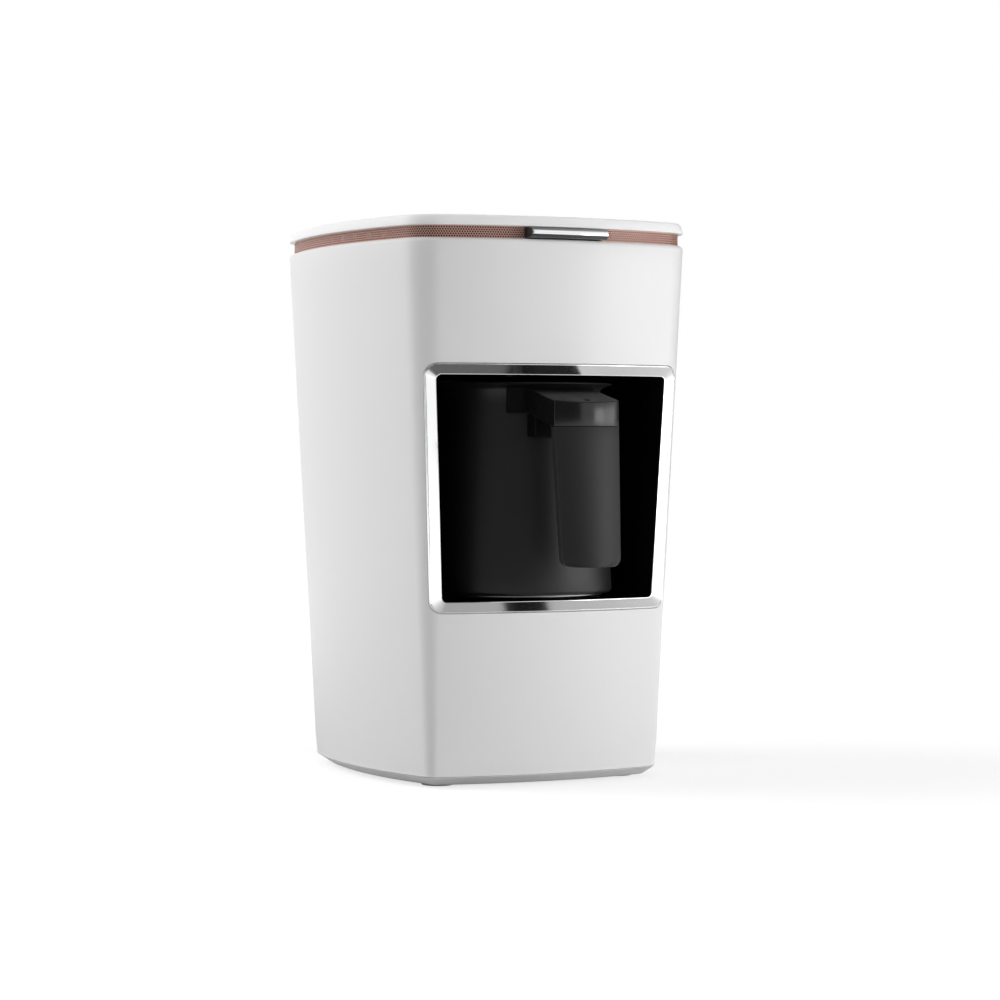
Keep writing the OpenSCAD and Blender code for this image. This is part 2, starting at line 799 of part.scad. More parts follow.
flange_t = 2;
liner_depth = wall + fit;
bracket_a = [0, 90, 180];
bracket_t = 1.5;
bracket_arm = 8.5;    // from the plate's edge to the screws of its bracket
bracket_r = plate_r + bracket_arm;
liner_flange = 5;     // how far the liner's flange reaches past the bezel
liner_span = 20;      // past the window, above and below the flange
module bay_liner() {
    color("#181818")
        difference() {
            union() {
                intersection() {
                    drafted(liner_depth, z_sill - liner_span, z_lintel + liner_span);
                    union() {
                        bay_form(liner_wall);
                        difference() {
                            front_prism(window_outer(0, liner_flange));
                            drafted(liner_depth + flange_t, z_sill - 1.5 * liner_span, z_lintel + 1.5 * liner_span);
                        }
                    }
                }
                for (a = bracket_a)
                    translate([bracket_r * cos(a), pot_y + bracket_r * sin(a), z_bracket + bracket_t + fit])
                        cylinder(r = 3, h = z_floor - z_bracket - bracket_t - 0.5);
            }
            bay_form(0);
            translate([0, pot_y, z_floor - 2 * liner_wall])
                cylinder(r = plate_r + seal_w, h = 4 * liner_wall);
            translate([0, pot_y, z_ceiling - 1])
                cylinder(r = lens_r + fit, h = 2 * liner_wall + 1);
            for (p = liner_places)
                translate([p[0], 0, p[1]])
                    rotate([90, 0, 0])
                        cylinder(r = liner_screw_r + fit, h = body_d / 2);
        }
}

liner_screw_r = 1;
liner_head_r = 1.9;
liner_head_h = 1.3;
liner_screw_l = 4.4;
liner_screw_x = 30;
liner_screw_rail = 2.8;   // from the bezel to the screws
liner_places = [
    for (x = [-liner_screw_x, liner_screw_x],
         z = [z_sill - bezel_rail - liner_screw_rail, z_lintel + bezel_rail + liner_screw_rail])
        [x, z]
];
module liner_screws() {
    color("gainsboro")
        for (p = liner_places)
            translate([p[0], skin_y(p[0], p[1], liner_depth + flange_t) + liner_head_h + slide_fit + fit, p[1]])
                rotate([90, 0, 0])
                    screw(liner_head_r, liner_head_h, liner_screw_r - shaft_fit, liner_screw_l);
}

lens_r = 6;
lens_flange = 1.2;
sensor_w = 6;
sensor_h = 3;
sensor_board_w = 28;
sensor_board_d = 20;
module sensor_lens() {
    color("#400808")
        translate([0, pot_y, z_ceiling]) {
            translate([0, 0, 0.2])
                cylinder(r = lens_r, h = liner_wall);
            translate([0, 0, liner_wall + fit])
                cylinder(r = lens_r + 1.5, h = lens_flange);
        }
}

module sensor_board() {
    color("darkgreen")
        translate([0, pot_y, z_ceiling + liner_wall + fit + lens_flange + shaft_fit]) {
            translate([-sensor_w / 2, -sensor_w / 2, 0])
                cube([sensor_w, sensor_w, sensor_h]);
            translate([-sensor_board_w / 2, -sensor_board_d / 2, sensor_h])
                cube([sensor_board_w, sensor_board_d, board_t]);
        }
}

// ---------- Heater ----------
seal_w = 2.6;
z_plate_foot = z_plate - plate_t;
z_bracket = z_plate_foot - 2 * tube_r - 1.6;
module hot_plate() {
    color("darkgray")
        translate([0, pot_y, z_plate_foot])
            rotate_extrude()
                polygon([[0, 0], [plate_r, 0], [plate_r, plate_t - 0.6], [plate_r - 0.6, plate_t], [0, plate_t]]);
}

module plate_seal() {
    color("#303030")
        translate([0, pot_y, z_floor - liner_wall])
            rotate_extrude()
                polygon([
                    [plate_r + shaft_fit, 0], [plate_r + seal_w - shaft_fit, 0],
                    [plate_r + seal_w - shaft_fit, liner_wall], [plate_r + shaft_fit, liner_wall + 0.4]
                ]);
}

module heating_element() {
    color("dimgray")
        translate([0, pot_y, z_plate_foot - tube_r]) {
            rotate(110)
                rotate_extrude(angle = 320)
                    translate([element_r, 0])
                        circle(r = tube_r - shaft_fit);
            for (a = [110, 70])
                rotate(a)
                    translate([element_r, 0, -14])
                        cylinder(r = 1.2, h = 14);
        }
}

module plate_bracket() {
    color("lightgray")
        difference() {
            union() {
                translate([0, pot_y, z_bracket])
                    cylinder(r = element_r + 5, h = bracket_t);
                for (a = bracket_a)
                    translate([0, pot_y, z_bracket])
                        rotate(a)
                            translate([element_r, -4, 0])
                                cube([bracket_r + 4 - element_r, 8, bracket_t]);
                for (a = bracket_a)
                    translate([0, pot_y, z_bracket])
                        rotate(a)
                            translate([element_r + tube_r + 3, 0, 0])
                                cylinder(r = 2, h = z_plate_foot - z_bracket);
            }
            translate([0, pot_y, z_bracket - 1])
                cylinder(r = element_r - 5, h = 4);
            for (a = [110, 70])
                translate([0, pot_y, z_bracket - 1])
                    rotate(a)
                        translate([element_r, 0, 0])
                            cylinder(r = 2.4, h = 4);
        }
}

thermostat_r = 8;
thermostat_h = 9;
tab_w = 4.8;
tab_t = 0.8;
tab_l = 6;
module thermostat() {
    color("#c0b090")
        translate([0, pot_y, z_plate_foot - thermostat_h]) {
            cylinder(r = thermostat_r, h = thermostat_h);
            for (x = [-5, 5])
                translate([x - tab_w / 2, -tab_t / 2, -tab_l])
                    cube([tab_w, tab_t, tab_l + 0.5]);
        }
}

fuse_r = 2;
fuse_l = 12;
module thermal_fuse() {
    color("ivory")
        translate([-fuse_l / 2, pot_y + thermostat_r + 5, z_plate_foot - fuse_r - 0.2])
            rotate([0, 90, 0])
                cylinder(r = fuse_r, h = fuse_l);
}

// ---------- Power supply ----------
power_lift = 14;      // from the underside of the base to the power board
board_z = z_base + power_lift;
power_front = -32;
z_parts = board_z + shaft_fit + board_t;
post_edge = 6;        // from the board's edges to its posts
board_places = [for (x = [-1, 1], y = [post_edge, power_d - post_edge]) [x * (power_w / 2 - post_edge), power_front + y]];
module power_board() {
    color("darkgreen")
        translate([-power_w / 2, power_front, board_z + shaft_fit])
            cube([power_w, power_d, board_t]);
}

relay_x = 8;          // from the board's left and front edges
relay_y = 34;
module relay() {
    color("#203060")
        translate([-power_w / 2 + relay_x, power_front + relay_y, z_parts])
            cube([relay_w, relay_d, relay_h]);
}

core_x = 16;          // from the board's right and front edges
core_y = 8;
module transformer() {
    color("#404040")
        translate([power_w / 2 - core_x - core_w, power_front + core_y, z_parts]) {
            cube([core_w, core_d, core_h]);
            translate([(core_w - winding_w) / 2, (core_d - winding_t) / 2, (core_h - winding_t) / 2])
                cube([winding_w, winding_t, winding_t]);
        }
}

wire_r = 1.8;
wire_drop = 8;        // from the terminals' top to the middle of their wires
terminal_x = 12;      // from the board's right and rear edges
terminal_y = 8;
module terminal_block() {
    color("darkolivegreen")
        translate([power_w / 2 - terminal_x - terminal_w, power_front + power_d - terminal_y - terminal_d, z_parts])
            difference() {
                cube([terminal_w, terminal_d, terminal_h]);
                for (i = [0:2])
                    translate([(i + 0.5) * terminal_w / 3, terminal_d + 1, terminal_h - wire_drop])
                        rotate([90, 0, 0])
                            cylinder(r = wire_r, h = terminal_d - 3);
            }
}

gland_r = 6.4;
cord_span = 30;
module cord_gland() {
    skin_out = body_d / 2 - inset(z_base + cord_h + gland_r + 2) + fit;
    color("#303030")
        translate([0, skin_out, z_base + cord_h])
            rotate([90, 0, 0])
                difference() {
                    union() {
                        translate([0, 0, -2])
                            cylinder(r = gland_r + 2, h = 2);
                        cylinder(r = gland_r, h = 7);
                        translate([0, 0, wall + 1.2])
                            cylinder(r = gland_r + 1, h = 1.6);
                    }
                    translate([0, 0, -3])
                        cylinder(r = cord_r, h = 12);
                }
}

// ---------- Pot ----------
base_disc_t = 1.6;
rim_h = 2;
function pot_r(z) = pot_foot_r + (pot_rim_r - pot_foot_r) * (z - z_pot) / pot_h;
module pot_body() {
    z0 = base_disc_t;
    color("#2a2a2a")
        translate([0, pot_y, z_pot])
            rotate_extrude()
                polygon([
                    [0, z0], [pot_foot_r - 2.4, z0], [pot_foot_r - 0.5, z0 + 1], [pot_foot_r - 0.1, z0 + 3],
                    [pot_rim_r + 0.1, pot_h - rim_h], [pot_rim_r + rim_flare, pot_h - 0.6],
                    [pot_rim_r + rim_flare - 0.4, pot_h],
                    [pot_rim_r + rim_flare - 1.2, pot_h - 0.4],
                    [pot_rim_r - pot_wall, pot_h - rim_h - 0.4],
                    [pot_foot_r - pot_wall, z0 + 5], [pot_foot_r - pot_wall - 3, z0 + pot_wall + 0.4],
                    [0, z0 + pot_wall]
                ]);
}

module pot_base() {
    color("gray")
        translate([0, pot_y, z_pot])
            rotate_extrude()
                polygon([[0, 0], [pot_foot_r - 5, 0], [pot_foot_r - 4, 1], [pot_foot_r - 4, base_disc_t], [0, base_disc_t]]);
}

// ---------- Handle ----------
z_arm_top = z_pot + pot_h - rim_h - 0.5;      // the arm's upper edge at the collar
z_collar_foot = z_arm_top - arm_t - 0.5;
collar_a = asin(collar_half / (pot_rim_r + collar_t));
arm_back = pot_y - pot_r(z_arm_top) - collar_t - shaft_fit;
grip_front = -body_d / 2 - handle_reach;
arm_drop = (arm_back - grip_front) * tan(arm_fall);
z_split = z_arm_top - arm_drop - cap_h;
function front_bow(x, w) = grip_bow * (1 - pow(2 * x / w, 2));
function arm_top(y) = z_arm_top - (arm_back - y) * tan(arm_fall);
edge_y = grip_front + grip_bow;
function arm_under(y) =
    let (foot_y = edge_y + grip_edge_t)
    z_split + (z_arm_top - arm_t - z_split) * (y - foot_y) / (arm_back - foot_y);

// Thumb dish on the arm, and the screw that holds the arm's blade
dish_back = 14;       // from the cap's front
dish_y = grip_front + dish_back;
dish_r = 40;
dish_depth = 0.8;
screw_back = 5.5;
screw_y = grip_front + screw_back;
cap_head_r = 1.8;
cap_head_h = 1.4;
cap_screw_r = 1;
cap_screw_l = 7;
screw_seat = arm_top(screw_y - cap_head_r) - cap_head_h - 0.2;

module handle_collar() {
    z1 = z_arm_top + 0.3;
    color("#202020")
        translate([0, pot_y, 0])
            rotate(-90 - collar_a)
                rotate_extrude(angle = 2 * collar_a)
                    polygon([
                        [pot_r(z_collar_foot) + shaft_fit, z_collar_foot],
                        [pot_r(z_arm_top) + collar_t, z_collar_foot],
                        [pot_r(z_arm_top) + collar_t, z1],
                        [pot_r(z1) + shaft_fit + 0.2, z1]
                    ]);
}

anchor_w = 26;
anchor_h = 10;
anchor_reach = 6.5;
module handle_anchor() {
    front = pot_y - pot_r(z_collar_foot) - anchor_reach;
    z1 = min(z_collar_foot, arm_under(front)) - fit;
    color("#303030")
        difference() {
            translate([-anchor_w / 2, front, z1 - anchor_h])
                cube([anchor_w, 16, anchor_h]);
            translate([0, pot_y, z1 - anchor_h])
                translate([0, 0, -1])
                    cylinder(r1 = pot_r(z1 - anchor_h - 1) + shaft_fit, r2 = pot_r(z1 + 1) + shaft_fit, h = anchor_h + 2);
        }
}

// Outline of the handle in plan: bowed front, straight sides, back edge at y
function plan_bow(w, y, t) =
    let (n = 12)
    concat(
        [[w / 2, y + t], [-w / 2, y + t]],
        [for (i = [0:n]) let (x = -w / 2 + w * i / n) [x, y - front_bow(x, w)]]
    );

module handle_arm() {
    color("#3a3a3a")
        difference() {
            union() {
                intersection() {
                    translate([0, 0, z_split])
                        linear_extrude(pot_h)
                            polygon(plan_bow(handle_w, edge_y, arm_back - edge_y));
                    translate([-handle_w / 2, 0, 0])
                        rotate([90, 0, 90])
                            linear_extrude(handle_w)
                                polygon([
                                    [grip_front - 1, arm_top(grip_front - 1)],
                                    [arm_back, z_arm_top],
                                    [arm_back, z_arm_top - arm_t],
                                    [edge_y + grip_edge_t, z_split],
                                    [grip_front - 1, z_split]
                                ]);
                }
                handle_tongue(0, 0);
            }
            translate([0, dish_y, arm_top(dish_y)])
                rotate([arm_fall, 0, 0])
                    translate([0, 0, dish_r - dish_depth])
                        sphere(r = dish_r);
            translate([0, screw_y, screw_seat])
                cylinder(r = cap_head_r + fit, h = 12);
            translate([0, screw_y, screw_seat - cap_screw_l])
                cylinder(r = cap_screw_r + shaft_fit, h = 12);
        }
}

// Blade that stiffens the grip, moulded on the arm
tongue_w = 16;
tongue_t = 2;
tongue_skin = 0.8;    // of grip behind it
tongue_foot = 8;      // of grip below it
module handle_tongue(g, deeper) {
    y0 = grip_front + grip_bow + grip_edge_t - tongue_skin - tongue_t;
    low = z_split - grip_l + tongue_foot;
    shift = -grip_lean * (z_split - low) / grip_l;
    translate([-tongue_w / 2 - g, 0, 0])
        rotate([90, 0, 90])
            linear_extrude(tongue_w + 2 * g)
                polygon([
                    [y0 - g, z_split + 1], [y0 + tongue_t + g, z_split + 1],
                    [y0 + tongue_t + shift + g, low - deeper], [y0 + shift - g, low - deeper]
                ]);
}

module handle_screw() {
    color("gainsboro")
        translate([0, screw_y, screw_seat + shaft_fit + cap_head_h])
            mirror([0, 0, 1])
                screw(cap_head_r, cap_head_h, cap_screw_r, cap_screw_l);
}

grip_corner = 4;
module handle_grip() {
    steps = 5;
    z0 = z_split - grip_l;
    // heights and how much the corner takes off each side there
    ends = [for (i = [0:steps]) let (a = 90 * i / steps) [z0 + grip_corner * (1 - sin(90 - a)), grip_corner * (1 - sin(a))]];
    levels = concat(ends, [[z_split - fit, 0]]);
    color("#454545")
        difference() {
            skin([for (l = levels)
                let (
                    down = (z_split - l[0]) / grip_l,
                    w = handle_w + (grip_low_w - handle_w) * down - 2 * l[1]
                )
                at_height(plan_bow(w, edge_y - grip_lean * down, grip_edge_t), l[0])]);
            handle_tongue(fit, fit);
        }
}

// The body is drawn round its own middle; this sets the whole object, handle included, on the origin
module stand() {
    translate([0, (handle_reach + grip_lean) / 2, 0])
        children();
}

stand() housing();
stand() base_plate();
stand() feet();
stand() base_screws();
stand() lid();
stand() vent_band();
stand() top_frame();
stand() frame_screws();
stand() lid_screws();
stand() button_bar();
stand() button_carrier();
stand() switch_plunger();
stand() button_springs();
stand() push_switch();
stand() control_board();
stand() buzzer();
stand() window_bezel();
stand() bay_liner();
stand() liner_screws();
stand() sensor_lens();
stand() sensor_board();
stand() hot_plate();
stand() plate_seal();
stand() heating_element();
stand() plate_bracket();
stand() thermostat();
stand() thermal_fuse();
stand() power_board();
stand() relay();
stand() transformer();
stand() terminal_block();
stand() cord_gland();
stand() pot_body();
stand() pot_base();
stand() handle_collar();
stand() handle_anchor();
stand() handle_arm();
stand() handle_grip();
stand() handle_screw();
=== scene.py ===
"""Finished pieces of an electric coffee maker for turkish coffee, built round its fixed CAD frame.

Metres. X to the right, Y to the back, Z up. Sizes and colours are in the property groups,
each piece has its own operator, and main() builds the whole object and its studio.
"""
import math
from functools import partial

import bmesh
import bpy
from bpy.props import FloatProperty, FloatVectorProperty, IntProperty, PointerProperty
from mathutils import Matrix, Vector


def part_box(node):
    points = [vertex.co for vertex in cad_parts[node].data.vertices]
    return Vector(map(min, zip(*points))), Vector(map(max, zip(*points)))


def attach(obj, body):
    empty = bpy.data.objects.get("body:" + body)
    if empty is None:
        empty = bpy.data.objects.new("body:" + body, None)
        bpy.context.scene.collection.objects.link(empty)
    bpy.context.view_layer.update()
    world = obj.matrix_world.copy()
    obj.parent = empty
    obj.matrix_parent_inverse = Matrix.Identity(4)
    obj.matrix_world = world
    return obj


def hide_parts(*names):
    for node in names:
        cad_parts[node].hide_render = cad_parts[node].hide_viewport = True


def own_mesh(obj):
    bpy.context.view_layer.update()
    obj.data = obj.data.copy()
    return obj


bl_info = {
    "name": "Turkish coffee maker",
    "version": (1, 0, 0),
    "blender": (4, 5, 0),
    "location": "3D View > Sidebar > Coffee maker",
    "description": "Builds the shell, the grille band, the bay and the pot of a coffee maker",
    "category": "Add Mesh",
}

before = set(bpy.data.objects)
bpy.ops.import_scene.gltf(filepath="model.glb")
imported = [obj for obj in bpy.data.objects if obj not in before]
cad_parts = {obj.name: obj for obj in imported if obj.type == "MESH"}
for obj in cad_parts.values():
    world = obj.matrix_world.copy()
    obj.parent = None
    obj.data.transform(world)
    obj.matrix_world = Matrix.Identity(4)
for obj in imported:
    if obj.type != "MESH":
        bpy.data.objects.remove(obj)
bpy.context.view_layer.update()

SHELL_LOW, SHELL_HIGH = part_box("housing")
BAND_LOW, BAND_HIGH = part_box("vent_band")
BAR_LOW, BAR_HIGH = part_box("button_bar")
SPRING_LOW, SPRING_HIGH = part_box("button_springs")
BEZEL_LOW, BEZEL_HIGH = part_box("window_bezel")
LENS_LOW, LENS_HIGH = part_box("sensor_lens")
PLATE_LOW, PLATE_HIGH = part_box("hot_plate")
SEAL_LOW, SEAL_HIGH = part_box("plate_seal")
GLAND_LOW, GLAND_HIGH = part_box("cord_gland")
POT_LOW, POT_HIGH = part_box("pot_body")
COLLAR_LOW, COLLAR_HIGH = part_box("handle_collar")
ANCHOR_LOW, ANCHOR_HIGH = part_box("handle_anchor")
ARM_LOW, ARM_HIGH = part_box("handle_arm")
GRIP_LOW, GRIP_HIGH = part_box("handle_grip")
CAP_SCREW_LOW, CAP_SCREW_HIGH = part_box("handle_screw")

MM = 0.001
FULL_TURN = 2 * math.pi
BODY_W = SHELL_HIGH.x - SHELL_LOW.x
BODY_D = SHELL_HIGH.y - SHELL_LOW.y
MID_Y = (SHELL_LOW.y + SHELL_HIGH.y) / 2
POT_Y = (PLATE_LOW.y + PLATE_HIGH.y) / 2
Z_TOP = SHELL_HIGH.z
Z_HOUSING = SHELL_LOW.z
Z_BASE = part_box("base_plate")[0].z
Z_LID = BAND_HIGH.z + 0.05 * MM
Z_LID_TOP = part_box("lid")[1].z


# ---------------------------------------------------------------- sizes and colours

def metres(name, description, default):
    """A length that a user may change."""
    return FloatProperty(name=name, description=description, default=default, unit="LENGTH")


def degrees(name, description, default):
    """An angle that a user may change."""
    return FloatProperty(name=name, description=description, default=math.radians(default),
                         subtype="ANGLE", unit="ROTATION")


def tone(name, description, *default):
    """A colour that a user may change."""
    return FloatVectorProperty(name=name, description=description, default=default, subtype="COLOR")


class BodySizes(bpy.types.PropertyGroup):
    draft: degrees("Draft", "Lean of the walls", 3.05)
    front_r: metres("Front radius", "Radius of the bowed front", 0.203)
    side_bow: metres("Side bow", "How far the sides bow out over the depth", 0.01775)
    rear_r: metres("Back radius", "Radius of the bowed back", 0.187)
    front_corner_r: metres("Front corners", "Radius of the two front corners", 0.0197)
    rear_corner_r: metres("Rear corners", "Radius of the two rear corners", 0.036)
    wall: metres("Wall", "Thickness of the housing's wall", 0.0024)
    shoulder_r: metres("Shoulder", "Rounding of the housing's upper edge", 0.002)
    flange_w: metres("Flange", "Width of the flange inside the upper edge", 0.0108)
    lid_edge_r: metres("Lid edge", "Rounding of the lid's upper edge", 0.0016)
    lid_lean: metres("Lid lean", "How far the lid's side leans in towards the top", 0.001)
    lid_t: metres("Lid thickness", "Thickness of the lid's top", 0.0022)


class BaseSizes(bpy.types.PropertyGroup):
    chamfer: metres("Chamfer", "How far the base runs in under the housing", 0.0061)
    floor_t: metres("Floor", "Thickness of the base's floor", 0.0028)
    slot_l: metres("Slot length", "Length of a cooling slot", 0.034)
    slot_w: metres("Slot width", "Width of a cooling slot", 0.0026)
    slot_pitch: metres("Slot pitch", "Distance between cooling slots", 0.007)
    slots: IntProperty(name="Slots", description="Cooling slots in each row", default=7)
    foot_r: metres("Foot radius", "Radius of a rubber foot", 0.0073)
    foot_h: metres("Foot height", "Height of a rubber foot", 0.0029)
    foot_side: metres("Foot to side", "Distance of the feet from the sides", 0.035)
    foot_front: metres("Foot to front", "Distance of the front feet from the front", 0.038)
    foot_rear: metres("Foot to back", "Distance of the rear feet from the back", 0.036)


class BandSizes(bpy.types.PropertyGroup):
    inset: metres("Inset", "How far the band stands back from the outline", 0.0024)
    pitch: metres("Pitch", "Distance between holes along a row", 0.00115)
    rows: IntProperty(name="Rows", description="Rows of holes", default=5)
    hole_r: metres("Hole radius", "Radius of a hole", 0.00044)
    margin: metres("Margin", "Plain edge above and below the holes", 0.0002)
    sheet_t: metres("Sheet", "Thickness of the perforated sheet", 0.0003)


class ButtonSizes(bpy.types.PropertyGroup):
    upper: metres("Upper chamfer", "Height of the bar's upper chamfer", 0.0011)
    upper_in: metres("Upper depth", "Depth of the bar's upper chamfer", 0.0007)
    lower: metres("Lower chamfer", "Height of the bar's lower chamfer", 0.0014)
    lower_in: metres("Lower depth", "Depth of the bar's lower chamfer", 0.0011)
    wire_r: metres("Spring wire", "Radius of the springs' wire", 0.00025)
    turns: FloatProperty(name="Spring turns", description="Turns of a spring", default=5)
    travel: metres("Travel", "How far the bar goes in", 0.0012)


class WindowSizes(bpy.types.PropertyGroup):
    sill_w: metres("Sill width", "Width of the window at its sill", 0.1042)
    top_w: metres("Top width", "Width of the window at its top", 0.1134)
    inner_r: metres("Inner corners", "Radius of the window's corners", 0.0022)
    outer_r: metres("Outer corners", "Radius of the bezel's outer corners", 0.0055)
    side: metres("Sides", "Width of the bezel at the sides", 0.0058)
    rail: metres("Rails", "Width of the bezel at the top and the sill", 0.005)
    bevel: metres("Bevel", "Depth of the bezel's bevel", 0.0019)
    liner_t: metres("Liner", "Wall thickness of the bay's liner", 0.0018)
    bay_reach: metres("Bay reach", "Depth of the bay behind the pot's middle", 0.048)
    bay_gap: metres("Bay gap", "Step from the window's edge to the bay's floor", 0.0006)


class PotSizes(bpy.types.PropertyGroup):
    foot_r: metres("Foot radius", "Radius of the pot at its foot", 0.0435)
    rim_r: metres("Rim radius", "Radius of the pot below its rim", 0.038)
    wall: metres("Wall", "Wall thickness of the pot", 0.0016)


class HandleSizes(bpy.types.PropertyGroup):
    width: metres("Width", "Width of the handle at its top", 0.0314)
    low_width: metres("Lower width", "Width of the grip at its bottom", 0.028)
    bow: metres("Bow", "Bow of the handle's front face", 0.0046)
    edge_t: metres("Edge", "Thickness of the grip at its sides", 0.0036)
    lean: metres("Lean", "How much further out the grip's bottom stands", 0.005)
    fall: degrees("Fall", "Fall of the arm towards the grip", 11.8)
    arm_t: metres("Arm", "Thickness of the handle's arm", 0.0105)
    round_r: metres("Edges", "Rounding of the handle's edges", 0.0008)


class Colours(bpy.types.PropertyGroup):
    shell: tone("Shell", "Colour of the housing", 0.85, 0.85, 0.85)
    # lighter than the shell's white: partly the lid's own whiter plastic, partly painted light that
    # brightens the lid's side
    lid: tone("Lid", "Colour of the lid", 0.95, 0.95, 0.95)
    base: tone("Base", "Colour of the base", 0.8, 0.8, 0.81)
    copper: tone("Band", "Colour of the grille band", 0.6, 0.345, 0.285)
    chrome: tone("Chrome", "Colour of the bezel and the button", 0.93, 0.935, 0.94)
    bay: tone("Bay", "Colour of the bay", 0.006, 0.006, 0.006)
    pot: tone("Pot", "Colour of the pot's coating", 0.013, 0.013, 0.013)
    handle: tone("Handle", "Colour of the handle's smooth plastic", 0.007, 0.007, 0.0073)
    grip: tone("Grip", "Colour of the grip's soft plastic", 0.012, 0.012, 0.012)


SIZE_GROUPS = {
    "coffee_body": BodySizes,
    "coffee_base": BaseSizes,
    "coffee_band": BandSizes,
    "coffee_button": ButtonSizes,
    "coffee_window": WindowSizes,
    "coffee_pot": PotSizes,
    "coffee_handle": HandleSizes,
    "coffee_colours": Colours,
}


def settings(group):
    """The scene's settings of one group, such as body or pot."""
    return getattr(bpy.context.scene, "coffee_" + group)


# ---------------------------------------------------------------- plan of the body

CORNER_STEPS = 16
LONG_STEPS = 30
TIP_R = 0.8 * MM


def arc(centre, radius, start, end, steps):
    """Points on an arc, without its last one."""
    angles = [start + (end - start) * i / steps for i in range(steps)]
    return [Vector((centre[0] + radius * math.cos(a), centre[1] + radius * math.sin(a))) for a in angles]


def quarter(steps):
    """Sine and cosine on the way through a quarter turn."""
    angles = [math.pi / 2 * i / steps for i in range(steps + 1)]
    return [(math.sin(a), math.cos(a)) for a in angles]


def climb(low, high, steps):
    """Equal steps from one value up to another, without the first value."""
    return [low + (high - low) * i / steps for i in range(1, steps + 1)]


def mirrored(half):
    """A closed outline from its right half, whose ends lie in the middle."""
    return half + [Vector((-p.x, p.y)) for p in half[-2:0:-1]]


def meet(c1, r1, c2, r2):
    """Where two circles cross, on the left of the line between their centres."""
    gap = c2 - c1
    u = gap.normalized()
    along = (r1 * r1 - r2 * r2 + gap.length_squared) / (2 * gap.length)
    across = math.sqrt(r1 * r1 - along * along)
    return c1 + along * u + across * Vector((-u.y, u.x))


def aim(start, end):
    """Direction from one point to another."""
    return math.atan2(end.y - start.y, end.x - start.x)


class BodyForm:
    """Plan of the body: bowed front, sides and back, joined by round corners."""

    def __init__(self):
        s = self.sizes = settings("body")
        self.front_c = Vector((0, -BODY_D / 2 + s.front_r))
        self.side_r = (BODY_D * BODY_D / 4 + s.side_bow ** 2) / (2 * s.side_bow)
        self.side_c = Vector((BODY_W / 2 - self.side_r, 0))
        self.rear_c = Vector((0, BODY_D / 2 - s.rear_r))

    def inset(self, z):
        """How far the draft has brought the wall in at a height."""
        return (Z_TOP - z) * math.tan(self.sizes.draft)

    def front_corner(self, t):
        r = max(self.sizes.front_corner_r - t, TIP_R)
        return meet(self.front_c, self.sizes.front_r - t - r, self.side_c, self.side_r - t - r), r

    def rear_corner(self, t):
        r = max(self.sizes.rear_corner_r - t, TIP_R)
        return meet(self.side_c, self.side_r - t - r, self.rear_c, self.sizes.rear_r - t - r), r

    def ring(self, t):
        """Outline moved inwards by t, counter-clockwise from the middle of the front."""
        front, front_r = self.front_corner(t)
        rear, rear_r = self.rear_corner(t)
        rear_reach = self.sizes.rear_r - t
        arcs = [
            (self.front_c, self.sizes.front_r - t, LONG_STEPS),
            (front, front_r, CORNER_STEPS),
            (self.side_c, self.side_r - t, LONG_STEPS),
            (rear, rear_r, CORNER_STEPS),
            (self.rear_c, rear_reach, LONG_STEPS),
        ]
        joints = [-math.pi / 2, aim(self.front_c, front), aim(self.side_c, front),
                  aim(self.side_c, rear), aim(self.rear_c, rear), math.pi / 2]
        half = []
        for (centre, radius, steps), start, end in zip(arcs, joints, joints[1:]):
            half += arc(centre, radius, start, end, steps)
        return mirrored(half + [self.rear_c + Vector((0, rear_reach))])

    def level(self, t, z):
        """The outline moved inwards by t, as points at a height in the object's frame."""
        return [(p.x, p.y + MID_Y, z) for p in self.ring(t)]

    def wall(self, z, depth=0.0):
        """The drafted outline at a height, at a depth below the wall's outer face."""
        return self.level(self.inset(z) + depth, z)

    def front_y(self, x, z, depth):
        """Y of the front wall at a place, at a depth below its outer face."""
        t = self.inset(z) + depth
        corner, r = self.front_corner(t)
        reach = self.sizes.front_r - t
        if abs(x) < reach * math.cos(aim(self.front_c, corner)):
            return MID_Y + self.front_c.y - math.sqrt(reach ** 2 - x * x)
        return MID_Y + corner.y - math.sqrt(max(r ** 2 - (abs(x) - corner.x) ** 2, 0))


# ---------------------------------------------------------------- mesh tools

def plain_object(name, points, edges=(), faces=()):
    """An object with this mesh, in the scene."""
    mesh = bpy.data.meshes.new(name)
    mesh.from_pydata([tuple(p) for p in points], edges, faces)
    piece = bpy.data.objects.new(name, mesh)
    bpy.context.scene.collection.objects.link(piece)
    return piece


def new_object(name, points, faces):
    """An object whose faces all point outwards."""
    piece = plain_object(name, points, faces=faces)
    work = bmesh.new()
    work.from_mesh(piece.data)
    bmesh.ops.remove_doubles(work, verts=work.verts, dist=1e-7)
    bmesh.ops.recalc_face_normals(work, faces=work.faces)
    work.to_mesh(piece.data)
    work.free()
    return piece


def bridge(count, first, second):
    """Faces between two rings of points that start at these numbers."""
    return [(first + i, first + (i + 1) % count, second + (i + 1) % count, second + i) for i in range(count)]


def loft(name, rings, closed=False):
    """Solid through rings with as many points each: joined end to end if closed, otherwise capped."""
    count = len(rings[0])
    last = (len(rings) - 1) * count
    faces = []
    for start in range(0, last, count):
        faces += bridge(count, start, start + count)
    if closed:
        faces += bridge(count, last, 0)
    else:
        faces += [tuple(range(count - 1, -1, -1)), tuple(range(last, last + count))]
    return new_object(name, [p for ring in rings for p in ring], faces)


def lathe(name, profile, centre, steps=128, start=0.0, sweep=FULL_TURN):
    """Solid made by turning a closed outline of (radius, height) about an upright axis."""
    whole = sweep == FULL_TURN
    rings = []
    for i in range(steps if whole else steps + 1):
        a = start + sweep * i / steps
        rings.append([(centre[0] + r * math.cos(a), centre[1] + r * math.sin(a), z) for r, z in profile])
    return loft(name, rings, closed=whole)


